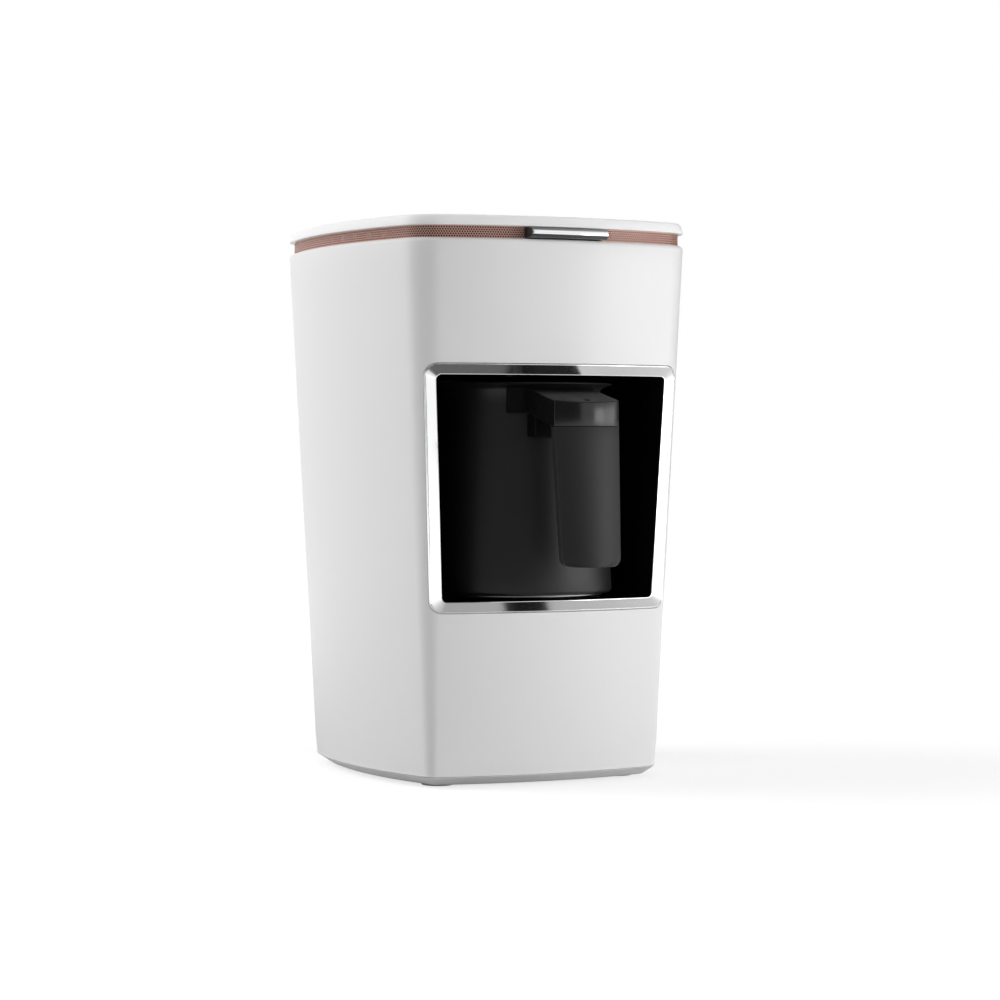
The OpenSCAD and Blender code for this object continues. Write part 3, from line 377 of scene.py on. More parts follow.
def cylinder(name, radius, low, high, centre=(0, 0), steps=48):
    """A plain upright cylinder, for cutting."""
    return lathe(name, [(0, low), (radius, low), (radius, high), (0, high)], centre, steps)


def prism(name, outline, axis, low, high):
    """Solid made by pushing a plane outline along an axis: its points lie on the other two axes."""
    at = "xyz".index(axis)
    return loft(name, [[(*p[:at], h, *p[at:]) for p in outline] for h in (low, high)])


def block(name, low, high):
    """A plain block between two corners, for cutting."""
    outline = [(low[0], low[1]), (high[0], low[1]), (high[0], high[1]), (low[0], high[1])]
    return prism(name, outline, "z", low[2], high[2])


def low_round(r, z, ease, steps):
    """Rounded lower edge of a turned profile, from its underside outwards."""
    return [(r - ease * (1 - n), z + ease * (1 - c)) for n, c in quarter(steps)]


def top_round(r, z, ease, steps):
    """Rounded upper edge of a turned profile, from its side inwards."""
    return [(r - ease * (1 - c), z - ease * (1 - n)) for n, c in quarter(steps)]


def bake(piece):
    """Turns the piece with its modifiers into a plain mesh."""
    graph = bpy.context.evaluated_depsgraph_get()
    mesh = bpy.data.meshes.new_from_object(piece.evaluated_get(graph))
    piece.modifiers.clear()
    old = piece.data
    piece.data = mesh
    bpy.data.meshes.remove(old)
    return piece


def combine(piece, others, operation="DIFFERENCE"):
    """Cuts or intersects the piece with other solids, which are used up."""
    for other in others:
        step = piece.modifiers.new("combine", "BOOLEAN")
        step.operation = operation
        step.solver = "EXACT"
        step.object = other
        bake(piece)
        bpy.data.objects.remove(other)


def soften(piece, width, segments=4, angle=40):
    """Rounds the piece's sharp edges."""
    step = piece.modifiers.new("soften", "BEVEL")
    step.width = width
    step.segments = segments
    step.limit_method = "ANGLE"
    step.angle_limit = math.radians(angle)
    bake(piece)


def finish(piece, surface, body, node, sharp=30):
    """Shades a made piece, gives it its material and puts it in the place of a CAD node."""
    mesh = piece.data
    mesh.name = piece.name
    mesh.materials.clear()
    mesh.materials.append(material(surface))
    mesh.polygons.foreach_set("use_smooth", [True] * len(mesh.polygons))
    mesh.set_sharp_from_angle(angle=math.radians(sharp))
    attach(piece, body)
    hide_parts(node)


def part_finish(piece, surface, chosen):
    """Gives a second finish to the faces whose normal is chosen."""
    piece.data.materials.append(material(surface))
    for face in piece.data.polygons:
        face.material_index = int(chosen(face.normal))


# ---------------------------------------------------------------- node tools

class Graph:
    """Nodes under construction in a node tree."""

    def __init__(self, tree):
        self.nodes = tree.nodes
        self.links = tree.links

    def node(self, kind, inputs=None, **options):
        """Outputs of a new node whose inputs are values or outputs of other nodes."""
        step = self.nodes.new(kind)
        for name, value in options.items():
            setattr(step, name, value)
        for key, value in (inputs or {}).items():
            if isinstance(value, bpy.types.NodeSocket):
                self.links.new(value, step.inputs[key])
            else:
                step.inputs[key].default_value = value
        return step.outputs

    def math(self, operation, a, b=0.0, c=0.0):
        return self.node("ShaderNodeMath", {0: a, 1: b, 2: c}, operation=operation)[0]

    def axes(self, vector):
        return self.node("ShaderNodeSeparateXYZ", {0: vector})

    def spread(self, value, given, wanted):
        """Spreads one range of values over another."""
        return self.node("ShaderNodeMapRange", {
            "Value": value, "From Min": given[0], "From Max": given[1],
            "To Min": wanted[0], "To Max": wanted[1],
        })["Result"]

    def rays(self, *kinds):
        """One where a ray is of one of these kinds, otherwise nought."""
        path = self.node("ShaderNodeLightPath")
        found = path[kinds[0]]
        for kind in kinds[1:]:
            found = self.math("MAXIMUM", found, path[kind])
        return found


def blank(owner):
    """The emptied node tree of a material or of the surroundings."""
    owner.use_nodes = True
    owner.node_tree.nodes.clear()
    return Graph(owner.node_tree)


# ---------------------------------------------------------------- materials

NOISE_RANGE = (0.3, 0.7)  # nearly all values of a noise pattern
RING_SCALE = 0.314  # a wave pattern of this scale has a ring in each unit of length


class Recipe(Graph):
    """A node material under construction, with its patterns in object coordinates."""

    def __init__(self, name, **values):
        made = bpy.data.materials.new(name)
        made.use_nodes = True
        super().__init__(made.node_tree)
        self.shader = self.nodes["Principled BSDF"].inputs
        self.place = self.node("ShaderNodeTexCoord")["Object"]
        for key, value in values.items():
            self.shader[key.replace("_", " ")].default_value = value

    def moved(self, scale=(1, 1, 1), location=(0, 0, 0)):
        """The object coordinates, stretched and moved."""
        return self.node("ShaderNodeMapping",
                         {"Vector": self.place, "Scale": scale, "Location": location})["Vector"]

    def noise(self, scale, detail=3.0, vector=None):
        return self.node("ShaderNodeTexNoise", {
            "Vector": vector or self.place, "Scale": scale, "Detail": detail, "Roughness": 0.55,
        })["Fac"]

    def tint(self, pattern, colour, dark=1.0, light=1.0):
        """The colour between a darker and a lighter one, as a pattern says."""
        shades = [(*(min(c * factor, 1.0) for c in colour), 1) for factor in (dark, light)]
        share = self.spread(pattern, NOISE_RANGE, (0, 1))
        mixed = self.node("ShaderNodeMix", {"Factor": share, "A": shades[0], "B": shades[1]},
                          data_type="RGBA")["Result"]
        self.links.new(mixed, self.shader["Base Color"])

    def rough(self, pattern, roughness):
        self.links.new(self.spread(pattern, NOISE_RANGE, roughness), self.shader["Roughness"])

    def bump(self, pattern, strength, depth):
        normal = self.node("ShaderNodeBump", {"Height": pattern, "Strength": strength, "Distance": depth})
        self.links.new(normal["Normal"], self.shader["Normal"])


def moulded(name, colour, roughness=(0.35, 0.45), grain=900, bump=0.12, gloss=0.5, coat=0.0, vary=0.03):
    """Moulded plastic or rubber: fine spark grain and slow, slight changes of tone and gloss."""
    recipe = Recipe(name, Specular_IOR_Level=gloss, Coat_Weight=coat, Coat_Roughness=0.12)
    recipe.tint(recipe.noise(14, 2), colour, 1 - vary, 1 + vary)
    recipe.rough(recipe.noise(60, 4), roughness)
    recipe.bump(recipe.noise(grain, 2), bump, 0.03 * MM)


def painted(name, colour, roughness):
    """Sheet metal under a metallic paint: small bright flakes under a smooth coat."""
    recipe = Recipe(name, Metallic=0.15, Specular_IOR_Level=0.6)
    flakes = recipe.noise(5200, 1)
    recipe.tint(flakes, colour, 0.92, 1.08)
    recipe.rough(recipe.noise(300, 2), roughness)
    recipe.bump(flakes, 0.05, 0.01 * MM)


def plated(name, colour, roughness=(0.15, 0.17)):
    """Bright plated metal with faint polishing marks."""
    recipe = Recipe(name, Metallic=1.0)
    marks = recipe.noise(220, 3, recipe.moved((1, 1, 0.2)))
    recipe.tint(recipe.noise(40, 2), colour, 0.97)
    recipe.rough(marks, roughness)
    recipe.bump(marks, 0.02, 0.005 * MM)


def brushed(name, colour, roughness, along, grain=500):
    """Drawn or turned metal, with fine lines across its length."""
    recipe = Recipe(name, Metallic=1.0)
    lines = recipe.noise(grain, 3, recipe.moved(along))
    recipe.tint(lines, colour, 0.82, 1.1)
    recipe.rough(lines, roughness)
    recipe.bump(lines, 0.1, 0.04 * MM)


def turned(name, colour, roughness=(0.3, 0.42), pitch=1.2 * MM):
    """Metal turned on a lathe: fine rings about the pot's axis."""
    recipe = Recipe(name, Metallic=1.0)
    rings = recipe.node("ShaderNodeTexWave", {
        "Vector": recipe.moved(location=(0, -POT_Y, 0)), "Scale": RING_SCALE / pitch, "Distortion": 0.6,
    }, wave_type="RINGS", rings_direction="Z")["Fac"]
    recipe.tint(recipe.noise(90, 4), colour, 0.85, 1.08)
    recipe.rough(recipe.noise(300, 3), roughness)
    recipe.bump(rings, 0.25, 0.05 * MM)


def circuit(name, colour):
    """Lacquered circuit board: copper paths that show through in squares and lines."""
    recipe = Recipe(name, Coat_Weight=0.5)
    cells = recipe.node("ShaderNodeTexVoronoi", {"Vector": recipe.place, "Scale": 160},
                        distance="MANHATTAN")["Distance"]
    recipe.tint(cells, colour, 1.6, 0.8)
    recipe.rough(recipe.noise(200, 3), (0.3, 0.45))
    recipe.bump(cells, 0.3, 0.06 * MM)


def palette():
    """Makes every material of the object, once."""
    if "shell_white" in bpy.data.materials:
        return
    c = settings("colours")
    bar = [part * 0.95 for part in c.chrome]
    # a darker, duller copy of the handle's plastic for the collar and the anchor; on the arm's upper faces
    # it is painted shade under the bay's ceiling
    collar = [part * 0.7 for part in c.handle]
    moulded("shell_white", c.shell, (0.285, 0.3), grain=1400, bump=0.05, gloss=0.4, vary=0.003)
    # the lid's white, lighter than the shell's: partly painted light on the lid's side
    moulded("lid_white", c.lid, (0.285, 0.3), grain=1400, bump=0.05, vary=0.003)
    moulded("base_plastic", c.base, (0.45, 0.55), grain=1100, bump=0.2, gloss=0.4)
    painted("copper_sheet", c.copper, (0.3, 0.34))
    plated("bright_chrome", c.chrome)
    plated("bar_chrome", bar, (0.05, 0.07))
    # dark satin metal of the bar's ends; on the bar's lower chamfer it is painted shade under the bar
    brushed("bar_end", (0.17, 0.17, 0.17), (0.4, 0.5), along=(1, 1, 0.1), grain=900)
    moulded("frame_plastic", (0.012, 0.012, 0.012), (0.5, 0.6), bump=0.25)
    moulded("bay_plastic", c.bay, (0.3, 0.4), grain=800, bump=0.2, gloss=0.4)
    moulded("pot_coating", c.pot, (0.38, 0.42), grain=1600, bump=0.2, gloss=0.42, vary=0.05)
    moulded("cap_plastic", c.handle, (0.17, 0.19), grain=1200, bump=0.03)
    moulded("collar_plastic", collar, (0.5, 0.55), grain=1300, bump=0.1, gloss=0.1)
    moulded("grip_rubber", c.grip, (0.46, 0.5), grain=1500, bump=0.2, gloss=0.43)
    brushed("bright_steel", (0.6, 0.6, 0.61), (0.2, 0.3), along=(1, 1, 8))
    turned("turned_alloy", (0.3, 0.3, 0.31))
    turned("plate_enamel", (0.03, 0.03, 0.031), (0.5, 0.6))
    moulded("foot_rubber", (0.45, 0.45, 0.46), (0.65, 0.75), grain=1000, bump=0.3, gloss=0.3)
    moulded("seal_rubber", (0.012, 0.012, 0.0125), (0.65, 0.8), grain=1000, bump=0.4, gloss=0.2)
    circuit("board_lacquer", (0.02, 0.12, 0.05))
    moulded("dark_casing", (0.02, 0.02, 0.022), (0.4, 0.55), bump=0.3)
    moulded("pale_ceramic", (0.6, 0.56, 0.48), (0.55, 0.7), grain=600, bump=0.4)
    moulded("red_lens", (0.045, 0.003, 0.003), (0.06, 0.1), bump=0.02, gloss=0.6, coat=0.6)
    moulded("blue_casing", (0.02, 0.06, 0.25), (0.3, 0.4), bump=0.15)


def material(name):
    palette()
    return bpy.data.materials[name]


# ---------------------------------------------------------------- geometry node trees

SOCKET_KINDS = {float: "NodeSocketFloat", int: "NodeSocketInt", bpy.types.Object: "NodeSocketObject"}


class Tree(Graph):
    """A geometry node tree under construction, with named inputs and their values."""

    def __init__(self, name, values):
        self.group = bpy.data.node_groups.new(name, "GeometryNodeTree")
        super().__init__(self.group)
        self.socket("Geometry", "INPUT", "NodeSocketGeometry")
        self.values = {}
        for label, value in values.items():
            identifier = self.socket(label, "INPUT", SOCKET_KINDS[type(value)])
            self.values[identifier] = value
        self.source = self.nodes.new("NodeGroupInput").outputs

    def socket(self, label, side, kind):
        return self.group.interface.new_socket(label, in_out=side, socket_type=kind).identifier

    def xyz(self, x=0.0, y=0.0, z=0.0):
        return self.node("ShaderNodeCombineXYZ", {0: x, 1: y, 2: z})[0]

    def spot(self):
        return self.node("GeometryNodeInputPosition")[0]

    def moved(self, geometry, position, chosen=True):
        """The geometry with its chosen points at other places."""
        return self.node("GeometryNodeSetPosition",
                         {"Geometry": geometry, "Selection": chosen, "Position": position})[0]

    def copies(self, unit, surface, rotation=(0, 0, 0)):
        """Ends the tree in a copy of the unit on each of the object's points."""
        self.close(self.node("GeometryNodeInstanceOnPoints", {
            "Points": self.source["Geometry"], "Instance": unit, "Rotation": rotation,
        })[0], surface)

    def close(self, geometry, surface):
        """Ends the tree in real geometry with its material."""
        self.socket("Geometry", "OUTPUT", "NodeSocketGeometry")
        real = self.node("GeometryNodeRealizeInstances", {0: geometry})[0]
        chosen = material(surface) if surface else None
        dressed = self.node("GeometryNodeSetMaterial", {"Geometry": real, "Material": chosen})[0]
        self.node("NodeGroupOutput", {0: dressed})

    def grow(self, piece):
        """Runs the tree on a piece, which becomes a plain mesh."""
        step = piece.modifiers.new(self.group.name, "NODES")
        step.node_group = self.group
        for identifier, value in self.values.items():
            step[identifier] = value
        return bake(piece)


def perforation_tree(s, height, surface):
    """Bends a flat sheet with staggered rows of holes round a closed outline."""
    tree = Tree("perforated_band", {
        "Pitch": s.pitch, "Rows": s.rows, "Height": height, "Hole radius": s.hole_r, "Margin": s.margin,
        "Bottom": BAND_LOW.z,
    })
    src = tree.source
    operations = ("ADD", "SUBTRACT", "MULTIPLY", "DIVIDE")
    add, less, times, over = [partial(tree.math, operation) for operation in operations]
    curve = tree.node("GeometryNodeMeshToCurve", {"Mesh": src["Geometry"]})["Curve"]
    length = tree.node("GeometryNodeCurveLength", {0: curve})[0]
    columns = tree.math("ROUND", over(length, src["Pitch"]))
    step = over(length, columns)
    holes_h = less(src["Height"], times(src["Margin"], 2.0))
    row_h = over(holes_h, src["Rows"])

    # one tile of the sheet: a rectangle with a round hole, drawn from a disc with eight corners
    to_corner = 1.4143  # brings the disc's slanting corners just past the rectangle's
    disc = tree.node("GeometryNodeMeshCircle", {"Vertices": 8, "Radius": 1.0}, fill_type="NGON")["Mesh"]
    spot = tree.spot()
    kept = tree.nodes.new("GeometryNodeCaptureAttribute")
    kept.capture_items.new("VECTOR", "round")
    tree.links.new(disc, kept.inputs["Geometry"])
    tree.links.new(spot, kept.inputs["round"])
    square = []
    for axis, size in zip(tree.axes(spot), (step, row_h)):
        clipped = tree.math("MINIMUM", tree.math("MAXIMUM", times(axis, to_corner), -1.0), 1.0)
        square.append(times(clipped, over(size, 2.0)))
    tile = tree.moved(kept.outputs["Geometry"], tree.xyz(*square))
    pushed = tree.node("GeometryNodeExtrudeMesh", {"Mesh": tile, "Offset Scale": 0.0}, mode="FACES")
    hole = tree.node("ShaderNodeVectorMath", {0: kept.outputs["round"], "Scale": src["Hole radius"]},
                     operation="SCALE")[0]
    drawn = tree.moved(pushed["Mesh"], hole, pushed["Top"])
    tile = tree.node("GeometryNodeDeleteGeometry", {"Geometry": drawn, "Selection": pushed["Top"]},
                     domain="FACE")[0]

    # the tiles in staggered rows on the flat sheet
    index = tree.node("GeometryNodeInputIndex")[0]
    column = tree.math("MODULO", index, columns)
    row = tree.math("FLOOR", over(add(index, 0.5), columns))
    shift = times(tree.math("MODULO", row, 2.0), 0.5)
    x = times(add(column, shift), step)
    y = add(times(add(row, 0.5), row_h), src["Margin"])
    points = tree.node("GeometryNodePoints",
                       {"Count": times(columns, src["Rows"]), "Position": tree.xyz(x, y)})[0]
    sheet = tree.node("GeometryNodeInstanceOnPoints", {"Points": points, "Instance": tile})[0]
    sheet = tree.node("GeometryNodeRealizeInstances", {0: sheet})[0]

    # the sheet bent round the outline
    flat = tree.axes(tree.spot())
    along = tree.math("WRAP", flat[0], length, 0.0)
    round_at = tree.axes(tree.node("GeometryNodeSampleCurve", {"Curves": curve, "Length": along},
                                   mode="LENGTH", use_all_curves=True)["Position"])
    bent = tree.xyz(round_at[0], round_at[1], add(flat[1], src["Bottom"]))
    sheet = tree.moved(sheet, bent)
    sheet = tree.node("GeometryNodeMergeByDistance", {"Geometry": sheet, "Distance": 0.02 * MM})[0]

    # plain margins along the upper and the lower edge
    reach = less(over(holes_h, 2.0), 0.01 * MM)
    middle = add(src["Bottom"], over(src["Height"], 2.0))
    for side in (-1.0, 1.0):
        away = times(less(tree.axes(tree.spot())[2], middle), side)
        offset = tree.xyz(0.0, 0.0, times(src["Margin"], side))
        sheet = tree.node("GeometryNodeExtrudeMesh", {
            "Mesh": sheet, "Selection": tree.math("GREATER_THAN", away, reach),
            "Offset": offset, "Offset Scale": 1.0,
        }, mode="EDGES")["Mesh"]
    tree.close(sheet, surface)
    return tree


def spring_tree(radius, wire, length, turns, surface):
    """Puts a coil spring that lies along Y on each point of the object."""
    tree = Tree("coil_spring", {"Radius": radius, "Wire radius": wire, "Length": length, "Turns": turns})
    src = tree.source
    path = tree.node("GeometryNodeCurveSpiral", {
        "Resolution": 16, "Rotations": src["Turns"], "Start Radius": src["Radius"],
        "End Radius": src["Radius"], "Height": src["Length"],
    })[0]
    section = tree.node("GeometryNodeCurvePrimitiveCircle",
                        {"Resolution": 8, "Radius": src["Wire radius"]}, mode="RADIUS")[0]
    coil = tree.node("GeometryNodeCurveToMesh",
                     {"Curve": path, "Profile Curve": section, "Fill Caps": True})[0]
    tree.copies(coil, surface, rotation=(-math.pi / 2, 0, 0))
    return tree


def scatter(name, unit, places, surface=None):
    """One plain mesh with a copy of the unit at each place. The unit is used up."""
    tree = Tree(name, {"Unit": unit})
    tree.copies(tree.node("GeometryNodeObjectInfo", {"Object": tree.source["Unit"]})["Geometry"], surface)
    piece = tree.grow(plain_object(name, places))
    bpy.data.objects.remove(unit)
    return piece


# ---------------------------------------------------------------- window

def half_window(z0, z1, w0, w1, r, count):
    """Right half of a window with leaning sides, as (x, z), from the middle of its sill to its top's."""
    lean = math.atan((w1 - w0) / (z1 - z0))
    low = Vector((w0 - r * (1 - math.sin(lean)) / math.cos(lean), z0 + r))
    high = Vector((w1 - r * (1 + math.sin(lean)) / math.cos(lean), z1 - r))
    out = r * Vector((math.cos(lean), -math.sin(lean)))
    foot = low + out
    head = high + out
    points = [Vector((low.x * i / count, z0)) for i in range(count)]
    points += arc(low, r, -math.pi / 2, -lean, CORNER_STEPS)
    points += [foot + (head - foot) * i / count for i in range(count)]
    points += arc(high, r, -lean, math.pi / 2, CORNER_STEPS)
    points += [Vector((high.x * (1 - i / count), z1)) for i in range(count + 1)]
    return points


def bezel_levels():
    """Heights of the window's sill and of its upper edge."""
    rail = settings("window").rail
    return BEZEL_LOW.z + rail, BEZEL_HIGH.z - rail


def window_ring(side, rail, r):
    """The whole window's outline, grown to the sides and up and down."""
    s = settings("window")
    z_sill, z_lintel = bezel_levels()
    low_half, high_half = s.sill_w / 2 + side, s.top_w / 2 + side
    return mirrored(half_window(z_sill - rail, z_lintel + rail, low_half, high_half, r, 24))


# ---------------------------------------------------------------- operators: body

class COFFEE_OT_shell(bpy.types.Operator):
    """Drafted, bow-fronted housing with a round shoulder, its window and the cord inlet's hole"""
    bl_idname = "coffee.shell"
    bl_label = "Housing"

    def execute(self, context):
        s = settings("body")
        form = BodyForm()
        foot_r = 0.4 * MM
        z_round = Z_TOP - s.shoulder_r
        rings = [form.level(form.inset(Z_HOUSING) + foot_r * (1 - n), Z_HOUSING + foot_r * (1 - c))
                 for n, c in reversed(quarter(3))]
        rings += [form.wall(z) for z in climb(Z_HOUSING + foot_r, z_round, 28)[:-1]]
        rings += [form.level(form.inset(z_round) * c + s.shoulder_r * (1 - c), z_round + s.shoulder_r * n)
                  for n, c in quarter(6)]
        rings += [form.level(s.flange_w, Z_TOP), form.level(s.flange_w, Z_TOP - s.wall)]
        rings += [form.wall(Z_TOP - s.wall, s.wall), form.wall(Z_HOUSING, s.wall)]
        shell = loft("housing_shell", rings, closed=True)
        w = settings("window")
        play = 0.1 * MM
        ahead, hollow = SHELL_LOW.y - 20 * MM, MID_Y - BODY_D / 6
        outline = window_ring(w.side + play, w.rail + play, w.outer_r)
        opening = prism("window_cut", outline, "y", ahead, hollow)
        combine(shell, [opening, self.inlet()])
        finish(shell, "shell_white", "root", "housing")
        return {"FINISHED"}

    def inlet(self):
        """Cutter of the gland's hole in the rear wall, which the gland's flange covers."""
        flange = 2 * MM
        z_gland = (GLAND_HIGH.z + GLAND_LOW.z) / 2
        hole = cylinder("inlet_cut", (GLAND_HIGH.x - GLAND_LOW.x) / 2 - flange, -30 * MM, 10 * MM)
        for v in hole.data.vertices:
            x, y, z = v.co
            v.co = (x, SHELL_HIGH.y + z, z_gland + y)
        return hole


class COFFEE_OT_lid(bpy.types.Operator):
    """Flat lid with a leaning side, a round upper edge and a hollow underside"""
    bl_idname = "coffee.lid"
    bl_label = "Lid"

    def execute(self, context):
        s = settings("body")
        lip = 0.5 * MM
        hollow = 6.7 * MM
        section = [(hollow, Z_LID_TOP - s.lid_t), (hollow, Z_LID)]
        section += [(lip * (1 - n), Z_LID + lip * (1 - c)) for n, c in quarter(4)]
        tilt = math.atan2(s.lid_lean, Z_LID_TOP - s.lid_edge_r - Z_LID - lip)
        section += [(s.lid_lean + s.lid_edge_r * (math.cos(tilt) - math.cos(a)),
                     Z_LID_TOP - s.lid_edge_r * (1 - math.sin(a)))
                    for a in [tilt] + climb(tilt, math.pi / 2, 8)]
        section.append((s.lid_lean + s.lid_edge_r * 2, Z_LID_TOP))
        form = BodyForm()
        lid = loft("lid_cover", [form.level(depth, z) for depth, z in section])
        finish(lid, "lid_white", "root", "lid")
        return {"FINISHED"}


def foot_places():
    """Where the feet stand."""
    s = settings("base")
    x = BODY_W / 2 - s.foot_side
    front = MID_Y - BODY_D / 2 + s.foot_front
    back = MID_Y + BODY_D / 2 - s.foot_rear
    return [(side * x, y, 0) for side in (-1, 1) for y in (front, back)]


class COFFEE_OT_base(bpy.types.Operator):
    """Chamfered base with cooling slots and seats for the feet"""
    bl_idname = "coffee.base"
    bl_label = "Base"

    def execute(self, context):
        s = settings("base")
        form = BodyForm()
        z1 = Z_HOUSING - 0.1 * MM
        wall = 2.5 * MM
        ease = 0.35 * MM
        section = [(s.chamfer + ease, Z_BASE), (s.chamfer - ease, Z_BASE + ease * 0.6)]
        section += [(s.chamfer * (1 - k / 4), Z_BASE + (z1 - Z_BASE) * k / 4) for k in (1, 2, 3)]
        section += [(ease, z1 - ease * 0.5), (ease * 1.4, z1)]
        section += [(wall, z1), (s.chamfer + wall, Z_BASE + s.floor_t)]
        base = loft("base_pan", [form.level(form.inset(Z_HOUSING) + depth, z) for depth, z in section])
        combine(base, [self.slots(), self.seats()])
        finish(base, "base_plastic", "root", "base_plate")
        return {"FINISHED"}

    def slots(self):
        """Cutters of two rows of cooling slots, with a bridge between the rows."""
        s = settings("base")
        bridge_w = 8 * MM
        slot = block("slot_cut", (-s.slot_l / 2, -s.slot_w / 2, Z_BASE - MM),
                     (s.slot_l / 2, s.slot_w / 2, Z_HOUSING + MM))
        soften(slot, s.slot_w * 0.45)
        places = [(side * (s.slot_l + bridge_w) / 2, MID_Y + (i - (s.slots - 1) / 2) * s.slot_pitch, 0)
                  for side in (-1, 1) for i in range(s.slots)]
        return scatter("slot_cuts", slot, places)

    def seats(self):
        """Cutters of the feet's seats."""
        seat = cylinder("seat_cut", settings("base").foot_r + 0.1 * MM, Z_BASE - MM, Z_BASE + 1.8 * MM)
        return scatter("seat_cuts", seat, foot_places())


class COFFEE_OT_feet(bpy.types.Operator):
    """Four round rubber feet"""
    bl_idname = "coffee.feet"
    bl_label = "Feet"

    def execute(self, context):
        s = settings("base")
        hollow = 0.25 * MM
        profile = [(0, hollow), (s.foot_r * 0.55, hollow), (s.foot_r * 0.6, 0)]
        profile += low_round(s.foot_r, 0, 0.4 * MM, 4) + [(s.foot_r, s.foot_h), (0, s.foot_h)]
        foot = lathe("foot_unit", profile, (0, 0), 64)
        feet = scatter("rubber_feet", foot, foot_places(), "foot_rubber")
        finish(feet, "foot_rubber", "root", "feet")
        return {"FINISHED"}


class COFFEE_OT_band(bpy.types.Operator):
    """Perforated sheet band between the housing and the lid, with a notch for the button bar"""
    bl_idname = "coffee.band"
    bl_label = "Grille band"

    def execute(self, context):
        s = settings("band")
        ring = BodyForm().level(s.inset, BAND_LOW.z)
        count = len(ring)
        band = plain_object("vent_grille", ring, edges=[(i, (i + 1) % count) for i in range(count)])
        perforation_tree(s, BAND_HIGH.z - BAND_LOW.z, "copper_sheet").grow(band)
        sheet = band.modifiers.new("sheet", "SOLIDIFY")
        sheet.thickness = s.sheet_t
        sheet.offset = -1
        bake(band)
        play, ahead, behind = 0.3 * MM, 5 * MM, 12 * MM
        notch = block("notch_cut", (BAR_LOW.x - play, BAND_LOW.y - ahead, BAND_LOW.z - MM),
                      (BAR_HIGH.x + play, BAND_LOW.y + behind, BAND_HIGH.z + MM))
        combine(band, [notch])
        finish(band, "copper_sheet", "root", "vent_band", sharp=50)
        return {"FINISHED"}


class COFFEE_OT_button(bpy.types.Operator):
    """Bright bar across the band that is pressed to start"""
    bl_idname = "coffee.button"
    bl_label = "Button bar"

    def execute(self, context):
        s = settings("button")
        low, high = BAR_LOW, BAR_HIGH
        outline = [(low.y, low.z + s.lower), (low.y + s.lower_in, low.z), (high.y, low.z),
                   (high.y, high.z), (low.y + s.upper_in, high.z), (low.y, high.z - s.upper)]
        bar = prism("button_cap", outline, "x", low.x, high.x)
        soften(bar, 0.12 * MM, 2, angle=30)
        finish(bar, "bar_chrome", "button", "button_bar", sharp=20)
        # the ends and the lower chamfer take the dark metal; on the lower chamfer the dark is painted shade
        part_finish(bar, "bar_end", lambda n: abs(n.x) > 0.9 or n.z < -0.4)
        return {"FINISHED"}


class COFFEE_OT_springs(bpy.types.Operator):
    """Two coil springs behind the button bar, pressed together as it goes in"""
    bl_idname = "coffee.springs"
    bl_label = "Button springs"

    def execute(self, context):
        s = settings("button")
        low, high = SPRING_LOW, SPRING_HIGH
        z = (low.z + high.z) / 2
        outer = (high.z - low.z) / 2
        room = high.y - low.y
        places = [(x, low.y + s.wire_r, z) for x in (low.x + outer, high.x - outer)]
        springs = plain_object("press_springs", places)
        spring_tree(outer - s.wire_r, s.wire_r, room - 2 * s.wire_r, s.turns, "bright_steel").grow(springs)
        finish(springs, "bright_steel", "root", "button_springs")
        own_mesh(springs)
        return {"FINISHED"}


# ---------------------------------------------------------------- operators: bay

class COFFEE_OT_bezel(bpy.types.Operator):
    """Bright bevelled frame round the window, with a fine lip and groove along its outer edge"""
    bl_idname = "coffee.bezel"
    bl_label = "Bezel"

    def execute(self, context):
        s = settings("window")
        form = BodyForm()
        back = settings("body").wall - 0.15 * MM
        # share of the width from the inner edge, and depth below the housing's face
        profile = [
            (0.0, back), (0.0, s.bevel + 0.12 * MM), (0.02, s.bevel), (0.06, s.bevel - 0.03 * MM),
            (0.86, -0.12 * MM), (0.885, 0.05 * MM), (0.905, 0.05 * MM), (0.925, -0.24 * MM),
            (0.955, -0.35 * MM), (0.985, -0.26 * MM), (1.0, 0.05 * MM), (1.0, back),
        ]
        inner = window_ring(0, 0, s.inner_r)
        outer = window_ring(s.side, s.rail, s.outer_r)
        rings = []
        for share, depth in profile:
            spots = [a + (b - a) * share for a, b in zip(inner, outer)]
            rings.append([(p.x, form.front_y(p.x, p.y, depth), p.y) for p in spots])
        bezel = loft("window_trim", rings, closed=True)
        finish(bezel, "bright_chrome", "root", "window_bezel", sharp=9)
        return {"FINISHED"}


